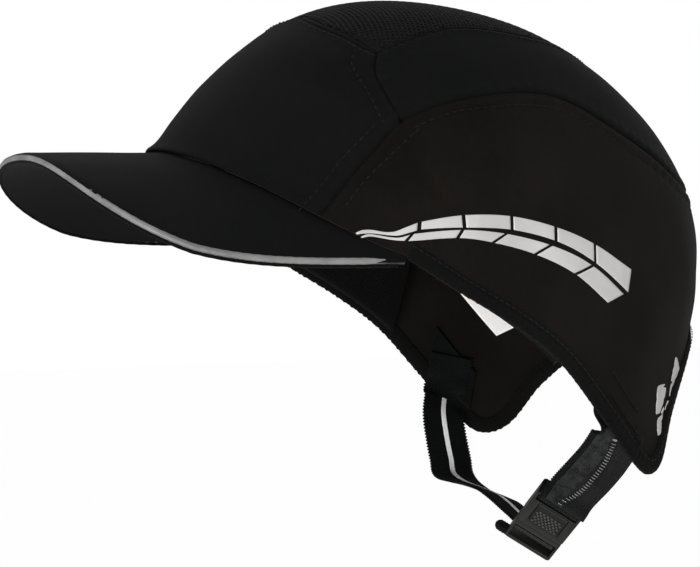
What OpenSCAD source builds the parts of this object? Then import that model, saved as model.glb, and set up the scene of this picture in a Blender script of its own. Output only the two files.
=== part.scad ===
// Bump cap: a sewn fabric cap over a moulded impact shell, with foam pads, a stiffened
// brim and a short elastic chin strap that closes with a small centre-release buckle.
// Millimetres. +X is the wearer's left, -Y is forwards, +Z is up.
// The origin is the centre of the head opening, level with the middle of the brim seam.

/* [Crown] */
// Reach of the crown from its centre to the forehead seam
crown_front = 109; // [104:1:114]
// Reach of the crown from its centre to the back of the head
crown_rear = 113; // [108:1:118]
// Half the width of the crown
crown_side = 85; // [81:1:89]
// Height of the crown above the brim seam
crown_h = 83.5; // [78:0.5:90]
// Angle by which the front of the cap is raised as worn
tilt = 16; // [8:1:22]
// Thickness of the sewn crown fabric
cloth_t = 1.0; // [0.6:0.1:1.4]
// Depth of the ear lobes below the brim seam
lobe_drop = 63; // [56:1:68]
// Height of the folded hem along the rim
hem_h = 5; // [3.5:0.5:7]
// Thickness of the hem tape
hem_t = 0.8; // [0.5:0.1:1.0]

/* [Brim] */
// Reach of the brim's edge in front of the crown's centre
brim_reach = 153.5; // [146:0.5:160]
// Half the width of the brim
brim_side = 82.7; // [79:0.1:85]
// Fall of the brim for each millimetre forwards
brim_slope = 0.278; // [0.22:0.01:0.34]
// Thickness of each brim cover
brim_cloth_t = 0.8; // [0.5:0.1:1.2]
// Thickness of the stiffener board
board_t = 2.0; // [1.4:0.1:2.6]
// Radius of the piping cord round the brim's edge
piping_r = 1.4; // [1:0.1:1.8]

/* [Protection] */
// Thickness of the impact shell
shell_t = 2.2; // [1.6:0.1:2.6]
// Thickness of the foam pads
foam_t = 5; // [3.5:0.5:6]
// Thickness of the sweatband
sweat_t = 1.6; // [1:0.1:2.2]
// Height of the sweatband
sweat_h = 30; // [24:1:36]
// Gap between one layer and the next
layer_gap = 0.6; // [0.5:0.05:0.8]

/* [Reflective bands] */
// Thickness of the reflective foil
foil_t = 0.3; // [0.2:0.05:0.5]
// Gap between two foil pieces, in degrees round the head
foil_gap = 0.7; // [0.4:0.1:1.2]

/* [Chin strap] */
// Width of the webbing
web_w = 16.5; // [15:0.5:17]
// Thickness of the webbing
web_t = 1.3; // [0.9:0.1:1.5]
// Distance from the strap's left end in to the buckle
buckle_in = 34; // [33:0.5:40]
// Distance of the buckle's top below the strap's left end
buckle_down = 28.5; // [28:0.5:35]
// Width of the stripe along the webbing
stripe_w = 2.2; // [1.4:0.2:3]

/* [Buckle] */
// Width of the buckle
buckle_w = 19.5; // [19.5:0.5:23]
// Length of the socket
socket_l = 22.5; // [19.5:0.5:24]
// Thickness of the socket
socket_t = 7; // [6.6:0.1:8]
// Wall of the socket above and below the tongue
socket_wall = 1.6; // [1.4:0.1:1.8]
// Length of the tongue's frame outside the socket
frame_l = 14.5; // [13:0.5:16]
// Thickness of the tongue's frame
frame_t = 6; // [5:0.5:6.5]
// Radius of the round bars that hold the webbing
bar_r = 1.3; // [1.1:0.1:1.5]
// Travel of the release button
press = 1.2; // [0.8:0.1:1.2]
// Running clearance between the buckle's moving parts
run_gap = 0.25; // [0.15:0.05:0.3]

/* [Hidden] */

// How the crown's outline closes towards its top: front, rear and side
front_rise = 1.1;
front_full = 2.72;
rear_rise = 2.2;
rear_full = 1.82;
side_rise = 2.86;
side_full = 3.32;
// Roundness of the crown seen from above
front_plan = 2.0;
rear_plan = 2.1;
plan_gain = 0.14;
// Height over which the upright skirt bends into the crown
bend_h = 24;
// Forward lean of the crown's top, and the flare of the skirt at 60 mm below the seam
crown_lean = 3;
rear_flare = 10;
side_flare = 9;
flare_depth = 60;

// Height of the brim seam at the forehead, and the arch of the brim: its side fall grows
// with the square and the fourth power
brim_rise = 1.7;
brim_round = 0.003;
brim_round_front = 0.001;
brim_drop = 14.9;
brim_drop_at = 80;
brim_back = 35;
brim_square = 3.58;
// Angle from the front to the brim's corners
corner_a = 67;

// Seams as [angle from the front, height] pairs, for the left half
front_seam = [[47, -7], [49, 1], [50.5, 7], [52.3, 13.5], [54.5, 20], [56.4, 26.5], [58.3, 32]];
top_seam = [[58.3, 32], [53.5, 39.6], [48.5, 47], [46.6, 54.5]];
arc_seam = [[58.3, 32], [64, 39], [69.5, 44], [78.5, 50], [87, 54], [96, 56.2], [104.5, 55.7],
    [115.5, 52.6], [128.5, 48.7], [150, 42], [180, 38]];
mesh_edge = [[0, 65.3], [19.5, 61.6], [34.5, 58.2], [42.5, 55.4], [46.6, 54.5], [51, 59.9],
    [55.5, 64.3], [63.5, 70.6], [74, 73.8], [87, 75.8], [105, 77.6], [130, 77.4], [180, 76]];
// Rim behind the brim's corner, as shares of the lobe's depth
rim_share = [[80, 0.3], [97.5, 0.41], [111, 0.54], [124.5, 0.78], [134, 0.965], [138.5, 1],
    [143.5, 0.9], [149, 0.62], [158, 0.325], [169, 0.14], [180, 0.095]];
lobe_a = 138.5;
shell_edge = [[0, 9], [50, 5], [90, 12], [120, 9], [150, 6], [180, 10]];

shell_in = cloth_t + layer_gap;
foam_in = shell_in + shell_t + layer_gap;
sweat_in = foam_in + foam_t + layer_gap;
foil_lift = 0.35;
strap_a = 129.5;
strap_up = 2;

// ---------- surface of the crown ----------

function lift(h) = (h + sqrt(h * h + bend_h * bend_h)) / 2;
function rise(h) = min(lift(h) / lift(crown_h), 0.99999);
function flare(h) = pow(min(h, 0) / flare_depth, 2);
function front_reach(h, d) =
    (crown_front - d) * pow(1 - pow(rise(h), front_rise), 1 / front_full);
function rear_reach(h, d) =
    (crown_rear - d) * pow(1 - pow(rise(h), rear_rise), 1 / rear_full) + rear_flare * flare(h);
function girth(h, d) =
    (crown_side - d) * pow(1 - pow(rise(h), side_rise), 1 / side_full) + side_flare * flare(h);
function radius(a, h, d) =
    let(n = (cos(a) >= 0 ? front_plan : rear_plan) + plan_gain * rise(h),
        reach = cos(a) >= 0 ? front_reach(h, d) : rear_reach(h, d))
    pow(pow(abs(cos(a)) / reach, n) + pow(abs(sin(a)) / girth(h, d), n), -1 / n);

// Point on the crown at angle a from the front and height h, set in by d from the outside
function wall(a, h, d = 0) =
    let(r = radius(a, h, d))
    [r * sin(a), -r * cos(a) - crown_lean * rise(h), h > 0 ? h * (crown_h - d) / crown_h : h];

// Height of the brim's top at a point of the plan, and of the seam where it meets the crown
function brim_z(p) =
    let(out = -p.y - crown_front, round_k = brim_round - brim_round_front * max(out, 0) / 70)
    brim_rise - brim_slope * out - round_k * p.x * p.x - brim_drop * pow(p.x / brim_drop_at, 4);
function seam_h(a) = brim_z(wall(a, brim_z(wall(a, brim_z(wall(a, -5))))));

// Smooth curve through a table of [place, value] pairs
function span(x, t, i = 0) = (i >= len(t) - 2 || x < t[i + 1][0]) ? i : span(x, t, i + 1);
function steep(t, i) =
    let(a = max(i - 1, 0), b = min(i + 1, len(t) - 1))
    (t[b][1] - t[a][1]) / (t[b][0] - t[a][0]);
function glide(x, t) =
    let(i = span(x, t), w = t[i + 1][0] - t[i][0], s = (x - t[i][0]) / w)
    t[i][1] * (1 + 2 * s) * pow(1 - s, 2) + t[i + 1][1] * s * s * (3 - 2 * s)
    + w * (steep(t, i) * s * pow(1 - s, 2) - steep(t, i + 1) * s * s * (1 - s));

rim_table = concat([[corner_a, seam_h(corner_a)]], [for (k = rim_share) [k[0], -k[1] * lobe_drop]]);
function rim_h(a) = abs(a) <= corner_a ? seam_h(a) : glide(min(abs(a), 360 - abs(a)), rim_table);
function mesh_h(a) = glide(abs(a), mesh_edge);

// ---------- closed slabs between two grids of points ----------

function mix(a, b, s) = a + (b - a) * s;
function along(list, s) =
    let(x = s * (len(list) - 1), i = min(floor(x), len(list) - 2))
    mix(list[i], list[i + 1], x - i);

// Patch of [angle, height] pairs between four edges that meet at their ends
function patch(low, high, start, end) =
    let(n = len(low) - 1, m = len(start) - 1)
    [for (i = [0 : n]) [for (j = [0 : m])
        let(a = i / n, b = j / m)
        mix(start[j], end[j], a) + mix(low[i], high[i], b)
        - mix(mix(low[0], low[n], a), mix(high[0], high[n], a), b)]];

function plain_patch(a0, a1, h0, h1, n, m) =
    [for (i = [0 : n]) [for (j = [0 : m]) [mix(a0, a1, i / n), mix(h0, h1, j / m)]]];

function on_crown(grid, d) = [for (row = grid) [for (p = row) wall(p[0], p[1], d)]];

function flat(grid) = [for (row = grid) each row];
function has(list, i, j) = len([for (k = list) if (k == [i, j]) k]) > 0;

// Faces of a slab of n by m points a side. Cells in gaps are left out, ring closes it round.
function slab_faces(n, m, ring = false, gaps = []) =
    let(s = n * m, last = ring ? n - 1 : n - 2)
    [for (i = [0 : last], j = [0 : m - 2])
        if (!has(gaps, i, j))
            let(i2 = (i + 1) % n,
                a = i * m + j, b = i2 * m + j, c = i2 * m + j + 1, d = i * m + j + 1,
                before = ring ? (i + n - 1) % n : i - 1,
                after = ring ? i2 : i + 1,
                no_low = j == 0 || has(gaps, i, j - 1),
                no_high = j == m - 2 || has(gaps, i, j + 1),
                no_before = before < 0 || has(gaps, before, j),
                no_after = after > last || has(gaps, after, j))
            each concat(
                [[a, d, c], [a, c, b], [s + a, s + b, s + c], [s + a, s + c, s + d]],
                no_low ? [[a, b, s + b], [a, s + b, s + a]] : [],
                no_high ? [[c, d, s + d], [c, s + d, s + c]] : [],
                no_before ? [[d, a, s + a], [d, s + a, s + d]] : [],
                no_after ? [[b, c, s + c], [b, s + c, s + b]] : [])];

module slab(outer, inner, ring = false, gaps = []) {
    polyhedron(
        points = concat(flat(outer), flat(inner)),
        faces = slab_faces(len(outer), len(outer[0]), ring, gaps));
}

module crown_slab(grid, d0, d1, ring = false, gaps = []) {
    slab(on_crown(grid, d0), on_crown(grid, d1), ring, gaps);
}

// Slab closed at the crown's top: each ring of points runs up to one point
module dome(rings, d0, d1) {
    n = len(rings);
    m = len(rings[0]);
    s = n * m + 1;
    side = [for (i = [0 : n - 1], j = [0 : m - 2])
        let(a = i * m + j, b = ((i + 1) % n) * m + j)
        each [[a, a + 1, b + 1], [a, b + 1, b], [s + a, s + b, s + b + 1], [s + a, s + b + 1, s + a + 1]]];
    caps = [for (i = [0 : n - 1])
        let(a = i * m, b = ((i + 1) % n) * m, t = m - 1)
        each [[a + t, n * m, b + t], [s + a + t, s + b + t, s + n * m], [a, b, s + b], [a, s + b, s + a]]];
    polyhedron(
        points = concat(flat(on_crown(rings, d0)), [wall(0, crown_h, d0)],
            flat(on_crown(rings, d1)), [wall(0, crown_h, d1)]),
        faces = concat(side, caps));
}

// Closed bar of one section for each station, all sections having as many points
module sweep(sections) {
    n = len(sections);
    m = len(sections[0]);
    side = [for (i = [0 : n - 2], j = [0 : m - 1])
        let(a = i * m + j, b = i * m + (j + 1) % m)
        each [[a, b, b + m], [a, b + m, a + m]]];
    ends = concat(
        [for (j = [1 : m - 2]) [0, j + 1, j]],
        [for (j = [1 : m - 2]) [(n - 1) * m, (n - 1) * m + j, (n - 1) * m + j + 1]]);
    polyhedron(points = flat(sections), faces = concat(side, ends));
}

module worn() rotate([-tilt, 0, 0]) children();
module both_sides() { children(); mirror([1, 0, 0]) children(); }
function tip(p) = [p.x, p.y * cos(tilt) + p.z * sin(tilt), p.z * cos(tilt) - p.y * sin(tilt)];

// ---------- sewn crown ----------

side_cols = 28;
side_rows = 10;
upper_rows = 6;
half_arc = [for (i = [0 : side_cols]) let(a = mix(58.3, 180, i / side_cols)) [a, glide(a, arc_seam)]];
front_line = concat([[47, seam_h(47)]], [for (k = [1 : 6]) front_seam[k]]);
front_edge = [for (k = [0 : side_rows]) along(front_line, k / side_rows)];
upper_edge = [for (k = [0 : upper_rows]) along(top_seam, k / upper_rows)];
// Angles at which the upper panels and the mesh are both drawn
mesh_a = 46.6;
front_turns = [for (i = [-8 : 8]) mesh_a * i / 8];
side_turns = [for (i = [1 : side_cols]) mix(mesh_a, 180, i / side_cols)];

module front_panel() {
    low = [for (i = [-8 : 8]) let(a = 47 * i / 8) [a, seam_h(a)]];
    high = [for (a = front_turns) [a, mesh_h(a)]];
    left = concat(front_edge, [for (k = [1 : upper_rows]) upper_edge[k]]);
    right = [for (p = left) [-p[0], p[1]]];
    color([0.05, 0.05, 0.05]) worn() crown_slab(patch(low, high, right, left), 0, cloth_t);
}

module side_panel() {
    low = [for (i = [0 : side_cols]) let(a = mix(47, 180, i / side_cols)) [a, rim_h(a)]];
    end = [for (k = [0 : side_rows]) [180, mix(rim_h(180), 38, k / side_rows)]];
    color([0.09, 0.08, 0.075]) worn() crown_slab(patch(low, half_arc, front_edge, end), 0, cloth_t);
}

module side_panel_left() side_panel();
module side_panel_right() mirror([1, 0, 0]) side_panel();

module upper_panel() {
    high = [for (a = concat([mesh_a], side_turns)) [a, mesh_h(a)]];
    end = [for (k = [0 : upper_rows]) [180, mix(38, mesh_h(180), k / upper_rows)]];
    color([0.06, 0.06, 0.06]) worn() crown_slab(patch(half_arc, high, upper_edge, end), 0, cloth_t);
}

module upper_panel_left() upper_panel();
module upper_panel_right() mirror([1, 0, 0]) upper_panel();

module top_mesh() {
    turns = concat([for (i = [side_cols - 1 : -1 : 0]) -side_turns[i]], front_turns,
        [for (i = [0 : side_cols - 2]) side_turns[i]]);
    rings = [for (a = turns)
        [for (j = [0 : 4]) [a, crown_h * sin(mix(asin(mesh_h(a) / crown_h), 88.5, j / 4))]]];
    color([0.12, 0.12, 0.12]) worn() dome(rings, 0, cloth_t);
}

// Folded tape over the cut edge: [set-in, height above the rim] round its section
hem_gap = 0.2;
hem_section = [
    [-hem_t - hem_gap, hem_h], [-hem_gap, hem_h], [-hem_gap, -hem_gap],
    [cloth_t + hem_gap, -hem_gap], [cloth_t + hem_gap, hem_h], [cloth_t + hem_t + hem_gap, hem_h],
    [cloth_t + hem_t + hem_gap, -hem_t - hem_gap], [-hem_t - hem_gap, -hem_t - hem_gap]];

// The hem is drawn at the side panel's own columns, so that it follows the panel's edge
panel_turns = [for (i = [0 : side_cols]) mix(47, 180, i / side_cols)];
rim_turns = [for (a = panel_turns) if (a > corner_a + 3 && a < lobe_a) a];
arch_turns = [for (a = panel_turns) if (a > lobe_a) a];
arch_start = rim_turns[len(rim_turns) - 1] + 0.4;
arch_all = concat([arch_start], arch_turns,
    [for (i = [len(arch_turns) - 2 : -1 : 0]) 360 - arch_turns[i]], [360 - arch_start]);

module hem(turns) {
    sweep([for (a = turns) [for (p = hem_section) wall(a, rim_h(a) + p[1], p[0])]]);
}

module rim_binding_left() color([0.1, 0.1, 0.1]) worn() hem(rim_turns);
module rim_binding_right() mirror([1, 0, 0]) rim_binding_left();

module arch_binding() color([0.1, 0.1, 0.1]) worn() hem(arch_all);

module nape_elastic() {
    d = cloth_t + hem_t + hem_gap + 0.3;
    grid = [for (i = [0 : 12]) let(a = mix(152, 208, i / 12))
        [for (k = [0 : 2]) [a, rim_h(a) + 1 + 6 * k]]];
    color([0.2, 0.2, 0.2]) worn() crown_slab(grid, d, d + 0.9);
}

// ---------- brim ----------

brim_n = 22;
brim_edge_in = piping_r + 0.3;
ply_gap = 0.25;

function brim_edge(i, shrink) =
    let(a = mix(-90, 90, i / brim_n),
        r = pow(pow(abs(cos(a)) / (brim_reach - brim_back - shrink), brim_square)
            + pow(abs(sin(a)) / (brim_side - shrink), brim_square), -1 / brim_square))
    [r * sin(a), -brim_back - r * cos(a)];
function brim_root(i) =
    let(a = mix(-corner_a, corner_a, i / brim_n), p = wall(a, seam_h(a), -0.2))
    [p.x, p.y];
function brim_grid(drop, shrink) =
    [for (i = [0 : brim_n]) [for (j = [0 : 5])
        let(p = mix(brim_root(i), brim_edge(i, shrink), j / 5))
        [p.x, p.y, brim_z(p) - drop]]];

// The brim's rows run outwards, so its upper grid is the inner side of the slab
module brim_layer(top, bottom, shrink) {
    slab(brim_grid(bottom, shrink), brim_grid(top, shrink));
}

under_top = brim_cloth_t + ply_gap;
board_low = under_top + board_t;

module brim_top_cover() color([0.05, 0.05, 0.05]) worn() brim_layer(0, brim_cloth_t, brim_edge_in);
module brim_board() color([0.25, 0.25, 0.25]) worn() brim_layer(under_top, board_low, brim_edge_in);
module brim_under_cover() {
    color([0.07, 0.07, 0.07]) worn() brim_layer(board_low + ply_gap, board_low + ply_gap + brim_cloth_t, brim_edge_in);
}

// The piping's centre lies this far below the brim's top
piping_drop = 0.4;

module brim_piping() {
    rings = [for (i = [0 : 2 * brim_n])
        let(p = brim_edge(i / 2, 0), q = brim_edge(i / 2 + 0.01, 0),
            t = (q - p) / norm(q - p), c = [p.x, p.y, brim_z(p) - piping_drop])
        [for (k = [0 : 7]) c + piping_r * [t.y * cos(45 * k), -t.x * cos(45 * k), sin(45 * k)]]];
    color([0.72, 0.72, 0.7]) worn() sweep(rings);
}

// ---------- protection inside the crown ----------

shell_n = 48;
shell_m = 11;

module impact_shell() {
    grid = [for (i = [0 : shell_n - 1]) let(a = 360 * i / shell_n - 180, e = glide(abs(a), shell_edge))
        [for (j = [0 : shell_m - 1])
            [a, crown_h * sin(mix(asin(e / crown_h), 84, j / (shell_m - 1)))]]];
    slots = [for (i = [1 : 4 : shell_n - 1]) each [[i, 2], [i, 3], [i + 2, 6], [i + 2, 7]]];
    color([0.16, 0.16, 0.17]) worn() crown_slab(grid, shell_in, shell_in + shell_t, true, slots);
}

module pad(a0, a1, h0, h1, n, m) {
    color([0.3, 0.3, 0.31]) worn() crown_slab(plain_patch(a0, a1, h0, h1, n, m), foam_in, foam_in + foam_t);
}

module front_pad() pad(-44, 44, 12, 44, 14, 6);
module side_pad_left() pad(56, 122, 16, 46, 11, 6);
module side_pad_right() mirror([1, 0, 0]) side_pad_left();
module rear_pad() pad(136, 224, 12, 44, 14, 6);
module crown_pad() {
    rings = [for (i = [0 : 31]) let(a = i * 11.25 - 180)
        [for (j = [0 : 3]) [a, crown_h * sin(mix(asin(0.8), 86, j / 3))]]];
    color([0.3, 0.3, 0.31]) worn() dome(rings, foam_in, foam_in + foam_t);
}

// Brow band: sewn along the brim seam and the front of the rim, then folded up inside
sweat_section = [
    [cloth_t + hem_t + 0.6, 6.5 + sweat_t], [sweat_in, 6.5 + sweat_t], [sweat_in, sweat_h + 6.5],
    [sweat_in + sweat_t, sweat_h + 6.5], [sweat_in + sweat_t, 6.5], [cloth_t + hem_t + 0.6, 6.5]];

module sweatband() {
    color([0.2, 0.2, 0.2]) worn() sweep([for (i = [0 : 28]) let(a = mix(-112, 112, i / 28))
        [for (p = sweat_section) wall(a, rim_h(a) + p[1] - 6, p[0])]]);
}

// Blank label on the inside of the right side panel, sewn on askew
module inner_label() {
    grid = [for (i = [0 : 4]) [for (j = [0 : 2])
        [-138 + 4.2 * i - 4.6 * j, -25 + 5.2 * i + 6.5 * j]]];
    color([0.85, 0.85, 0.83]) worn()
        crown_slab(grid, cloth_t + 0.3, cloth_t + 0.6);
}

// ---------- silver bands ----------

// Upper edge, middle and lower edge of the left band
band_top = [[53.5, -10.6], [59, -5.9], [65, -3], [77.5, 5.6], [89.5, 9.9], [101, 11], [113, 9.9], [126, 4.9]];
band_mid = [[53.5, -10.6], [59, -7.6], [65, -5.5], [78.5, 1.8], [90, 5], [102, 5.6], [114, 2.5], [126.5, -4]];
band_low = [[53.5, -10.6], [59, -8.6], [65, -7.6], [76.5, -3], [87, -0.3], [98, -0.2], [109.5, -3], [121.5, -9]];
upper_cuts = [54.5, 68.5, 78, 89.5, 101.5, 114, 126];
lower_cuts = [55.5, 66.5, 76, 87, 98.5, 110, 121.5];
foil_line = 0.9;

module foil(grid) crown_slab(grid, -foil_lift - foil_t, -foil_lift);

module side_band() {
    for (k = [0 : 5]) {
        foil([for (i = [0 : 3]) let(a = mix(upper_cuts[k], upper_cuts[k + 1] - foil_gap, i / 3))
            [[a, glide(a, band_mid) + foil_line / 2], [a, glide(a, band_top) + foil_line]]]);
        foil([for (i = [0 : 3]) let(a = mix(lower_cuts[k], lower_cuts[k + 1] - foil_gap, i / 3))
            [[a, glide(a, band_low) - foil_line], [a + 2 * k / 5 + 0.3, glide(a + 2 * k / 5, band_mid) - foil_line / 2]]]);
    }
}

module silver_band_left() color([0.84, 0.83, 0.82]) worn() side_band();
module silver_band_right() mirror([1, 0, 0]) silver_band_left();

module silver_band_rear() {
    color([0.84, 0.83, 0.82]) worn()
        for (k = [0 : 7], row = [0, 1])
            foil([for (i = [0 : 3]) let(a = mix(142 + 9.5 * k, 142 + 9.5 * (k + 1) - 1, i / 3))
                [for (j = [0 : 1]) [a, rim_h(a) + hem_h + 2.5 + 8.5 * row + 7.5 * j]]]);
}

// ---------- chin strap ----------

strap_in = cloth_t + hem_t + hem_gap + 0.3;
strap_h = rim_h(strap_a) + strap_up;
// The strap's ends, where it leaves the inside of the lobes
left_end = tip(wall(strap_a, strap_h, strap_in + web_t + 4.8));
right_end = [-left_end.x, left_end.y, left_end.z];
rim_dir = tip(wall(strap_a + 3, rim_h(strap_a + 3), 0)) - tip(wall(strap_a - 3, rim_h(strap_a - 3), 0));
rim_side = rim_dir / norm(rim_dir);

// Turn of the buckle, and the directions across it, along it and out of its face
buckle_turn = [139, 31.5, 65];
function turned(v) =
    let(a = buckle_turn.x, b = buckle_turn.y, c = buckle_turn.z,
        p = [v.x, v.y * cos(a) - v.z * sin(a), v.y * sin(a) + v.z * cos(a)],
        q = [p.x * cos(b) + p.z * sin(b), p.y, p.z * cos(b) - p.x * sin(b)])
    [q.x * cos(c) - q.y * sin(c), q.x * sin(c) + q.y * cos(c), q.z];
across = turned([1, 0, 0]);
up_strap = turned([0, 1, 0]);
face_out = turned([0, 0, 1]);
buckle_at = left_end + [-buckle_in, 1.6, -buckle_down];
function in_buckle(v) = buckle_at + turned(v);
module at_buckle() translate(buckle_at) rotate(buckle_turn) children();

function unit(v) = v / norm(v);

// Smooth run through points, k stations a span
function bow(a, b, c, d, s) =
    0.5 * (2 * b + (c - a) * s + (2 * a - 5 * b + 4 * c - d) * s * s + (3 * b - a - 3 * c + d) * s * s * s);
function run(pts, k) =
    [for (i = [0 : len(pts) - 2], j = [0 : k - 1])
        bow(pts[max(i - 1, 0)], pts[i], pts[i + 1], pts[min(i + 2, len(pts) - 1)], j / k),
    pts[len(pts) - 1]];

// Ribbon along centre points, with the direction across it at each point
module ribbon(mid, side, w, t, raise = 0) {
    n = len(mid) - 1;
    sweep([for (i = [0 : n])
        let(ahead = unit(mid[min(i + 1, n)] - mid[max(i - 1, 0)]),
            s = unit(side[i] - ahead * (ahead * side[i])),
            up = cross(ahead, s), c = mid[i] + up * raise)
        [c - s * w / 2 - up * t / 2, c - s * w / 2 + up * t / 2, c + s * w / 2 + up * t / 2, c + s * w / 2 - up * t / 2]]);
}

// Left run: from the lobe to the socket's bar
left_pts = [
    left_end,
    mix(left_end, in_buckle([0, 12, -1]), 0.35) + [0, 0, -2],
    mix(left_end, in_buckle([0, 12, -1]), 0.7) + [0, 0, -3],
    in_buckle([0, 5, -1.2]),
    in_buckle([0, 1.2, 0])];
left_mid = run(left_pts, 3);
left_side = [for (i = [0 : len(left_mid) - 1]) mix(rim_side, across, i / (len(left_mid) - 1))];

module webbing_left() color([0.16, 0.16, 0.17]) ribbon(left_mid, left_side, web_w, web_t);

module stitch_line_left() {
    color([0.85, 0.85, 0.85])
        ribbon([for (i = [0 : 11]) left_mid[i]], left_side, 1.2, 0.3, -web_t / 2 - 0.45);
}

// Right run: down from the other lobe, round under the jaw and up behind the tongue
bar_low = -socket_l - frame_l / 2 - 1;
right_pts = [
    right_end,
    right_end + [3, 1, -12],
    right_end + [7, 1, -25],
    right_end + [19, 0, -33],
    mix(right_end + [20, 0, -34], in_buckle([0, bar_low, -frame_t / 2 - 4]), 0.5) + [0, 0, 1.5],
    in_buckle([0, bar_low - 9, -frame_t / 2 - 4.6]),
    in_buckle([0, bar_low - 1, -frame_t / 2 - web_t / 2 - 1.9])];
right_mid = run(right_pts, 3);
right_rim_side = [-rim_side.x, rim_side.y, rim_side.z];
right_side = [for (i = [0 : len(right_mid) - 1])
    let(s = i / (len(right_mid) - 1))
    mix(mix(right_rim_side, [0, 1, 0], min(3 * s, 1)), across, s * s)];

module webbing_right() color([0.13, 0.13, 0.13]) ribbon(right_mid, right_side, web_w, web_t);
module stripe_right() {
    color([0.9, 0.9, 0.9])
        ribbon([for (i = [0 : 15]) right_mid[i]], right_side, stripe_w, 0.3, web_t / 2 + 0.35);
}

// Folded and stitched end of the webbing, just past the tongue's bar
module tail_loop() {
    color([0.15, 0.15, 0.15]) at_buckle()
        translate([-web_w / 2 - 5.5, -socket_l - run_gap - frame_l - 2.2, -1.4])
        rotate([0, 90, 0])
        cylinder(r = 1.9, h = web_w + 2, $fn = 32);
}

module anchor_tab_left() {
    grid = [for (i = [0 : 4]) [for (k = [0 : 3])
        let(a = mix(strap_a - 5.5, strap_a + 5.5, i / 4))
        [a, rim_h(a) + hem_h + 1 + 5 * k]]];
    color([0.12, 0.12, 0.12]) worn() crown_slab(grid, cloth_t + 0.3, cloth_t + 0.3 + web_t);
}
module anchor_tab_right() mirror([1, 0, 0]) anchor_tab_left();

module bar_tacks() {
    color([0.2, 0.2, 0.2]) worn() both_sides()
        for (k = [0, 1])
            crown_slab([for (i = [0 : 3]) let(a = mix(strap_a - 4.5, strap_a + 4.5, i / 3))
                [[a, rim_h(a) + hem_h + 4 + 8 * k], [a, rim_h(a) + hem_h + 5.6 + 8 * k]]],
                -0.75, -0.35);
}

// ---------- buckle, drawn flat: x across, y up the strap, z out of its face ----------

module plate(w, l, r, t) {
    linear_extrude(t) {
        translate([-w / 2 + r, 0]) square([w - 2 * r, l]);
        translate([-w / 2, r]) square([w, l - 2 * r]);
        for (x = [-w / 2 + r, w / 2 - r], y = [r, l - r])
            translate([x, y]) circle(r = r, $fn = 32);
    }
}

slot_w = web_w + 1;
corner_r = 1.4;
window_w = 13;
window_up = 3.6;
window_l = socket_l - window_up - 6.4;
tongue_w = 15;
tongue_l = socket_l - 7;
tongue_t = 1.3;
flange_t = 0.8;
stem_w = 6;
cave_t = socket_t - 2 * socket_wall;
cave_l = tongue_l + 0.8;
bar_place = -bar_r - 0.2;

// The socket's top edge is at y = 0, its mouth at y = -socket_l
module buckle_socket() {
    color([0.15, 0.155, 0.16]) at_buckle() {
        difference() {
            translate([0, -socket_l, -socket_t / 2]) plate(buckle_w, socket_l, corner_r, socket_t);
            translate([-tongue_w / 2 - run_gap, -socket_l - 1, -cave_t / 2])
                cube([tongue_w + 2 * run_gap, cave_l + 1, cave_t]);
            translate([-window_w / 2, -socket_l + window_up, 0]) cube([window_w, window_l, socket_t]);
            translate([-slot_w / 2, -5.4, -socket_t]) cube([slot_w, 4, 2 * socket_t]);
        }
        translate([-slot_w / 2, bar_place, 0]) rotate([0, 90, 0]) cylinder(r = bar_r, h = slot_w, $fn = 32);
    }
}

button_top = 0.3;
module release_button() {
    w = window_w - 2 * run_gap;
    l = window_l - 2 * run_gap;
    low = cave_t / 2 - flange_t;
    color([0.2, 0.205, 0.21]) at_buckle() translate([0, -socket_l + window_up + run_gap, 0]) {
        translate([-w / 2, 0, low + flange_t / 2]) cube([w, l, socket_wall + flange_t / 2 + button_top]);
        translate([-tongue_w / 2, 0, low - 0.05]) cube([tongue_w, l, flange_t]);
        for (i = [0 : 6], j = [0 : 5])
            translate([(i - 3) * 1.6, l / 2 + (j - 2.5) * 1.6, socket_t / 2 + button_top - 0.01])
                cylinder(r1 = 0.75, r2 = 0.2, h = 0.5, $fn = 4);
    }
}

// Leaf spring between the button and the socket's back wall, inside the tongue's fork
spring_w = 3;
module button_spring() {
    gap = cave_t - flange_t - 0.2;
    span_l = 8;
    leaf = 0.3;
    r = (span_l * span_l / 4 + gap * gap) / (2 * gap);
    color([0.7, 0.7, 0.72]) at_buckle()
        translate([-spring_w / 2, -socket_l + window_up + window_l / 2, -cave_t / 2 + 0.1 + gap - r])
        rotate([0, 90, 0])
        intersection() {
            difference() {
                cylinder(r = r, h = spring_w, $fn = 96);
                translate([0, 0, -1]) cylinder(r = r - leaf, h = spring_w + 2, $fn = 96);
            }
            translate([-r - 1, -span_l / 2, -1]) cube([gap + 1, span_l, spring_w + 2]);
        }
}

// Fork inside the socket, open frame with a webbing bar outside it
module buckle_tongue() {
    fork_low = -cave_t / 2 + 0.15;
    color([0.15, 0.155, 0.16]) at_buckle() {
        difference() {
            translate([-tongue_w / 2, -socket_l - 1, fork_low]) cube([tongue_w, tongue_l + 1, tongue_t]);
            translate([-stem_w / 2, -socket_l + 1.5, fork_low - 1]) cube([stem_w, tongue_l, tongue_t + 2]);
        }
        difference() {
            translate([0, -socket_l - run_gap - frame_l, -frame_t / 2])
                plate(buckle_w, frame_l, corner_r, frame_t);
            translate([-slot_w / 2, -socket_l - frame_l + 1.8, -frame_t])
                cube([slot_w, frame_l - 6, 2 * frame_t]);
        }
        translate([-slot_w / 2, bar_low, -0.6]) rotate([0, 90, 0]) cylinder(r = bar_r, h = slot_w, $fn = 32);
    }
}

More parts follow.
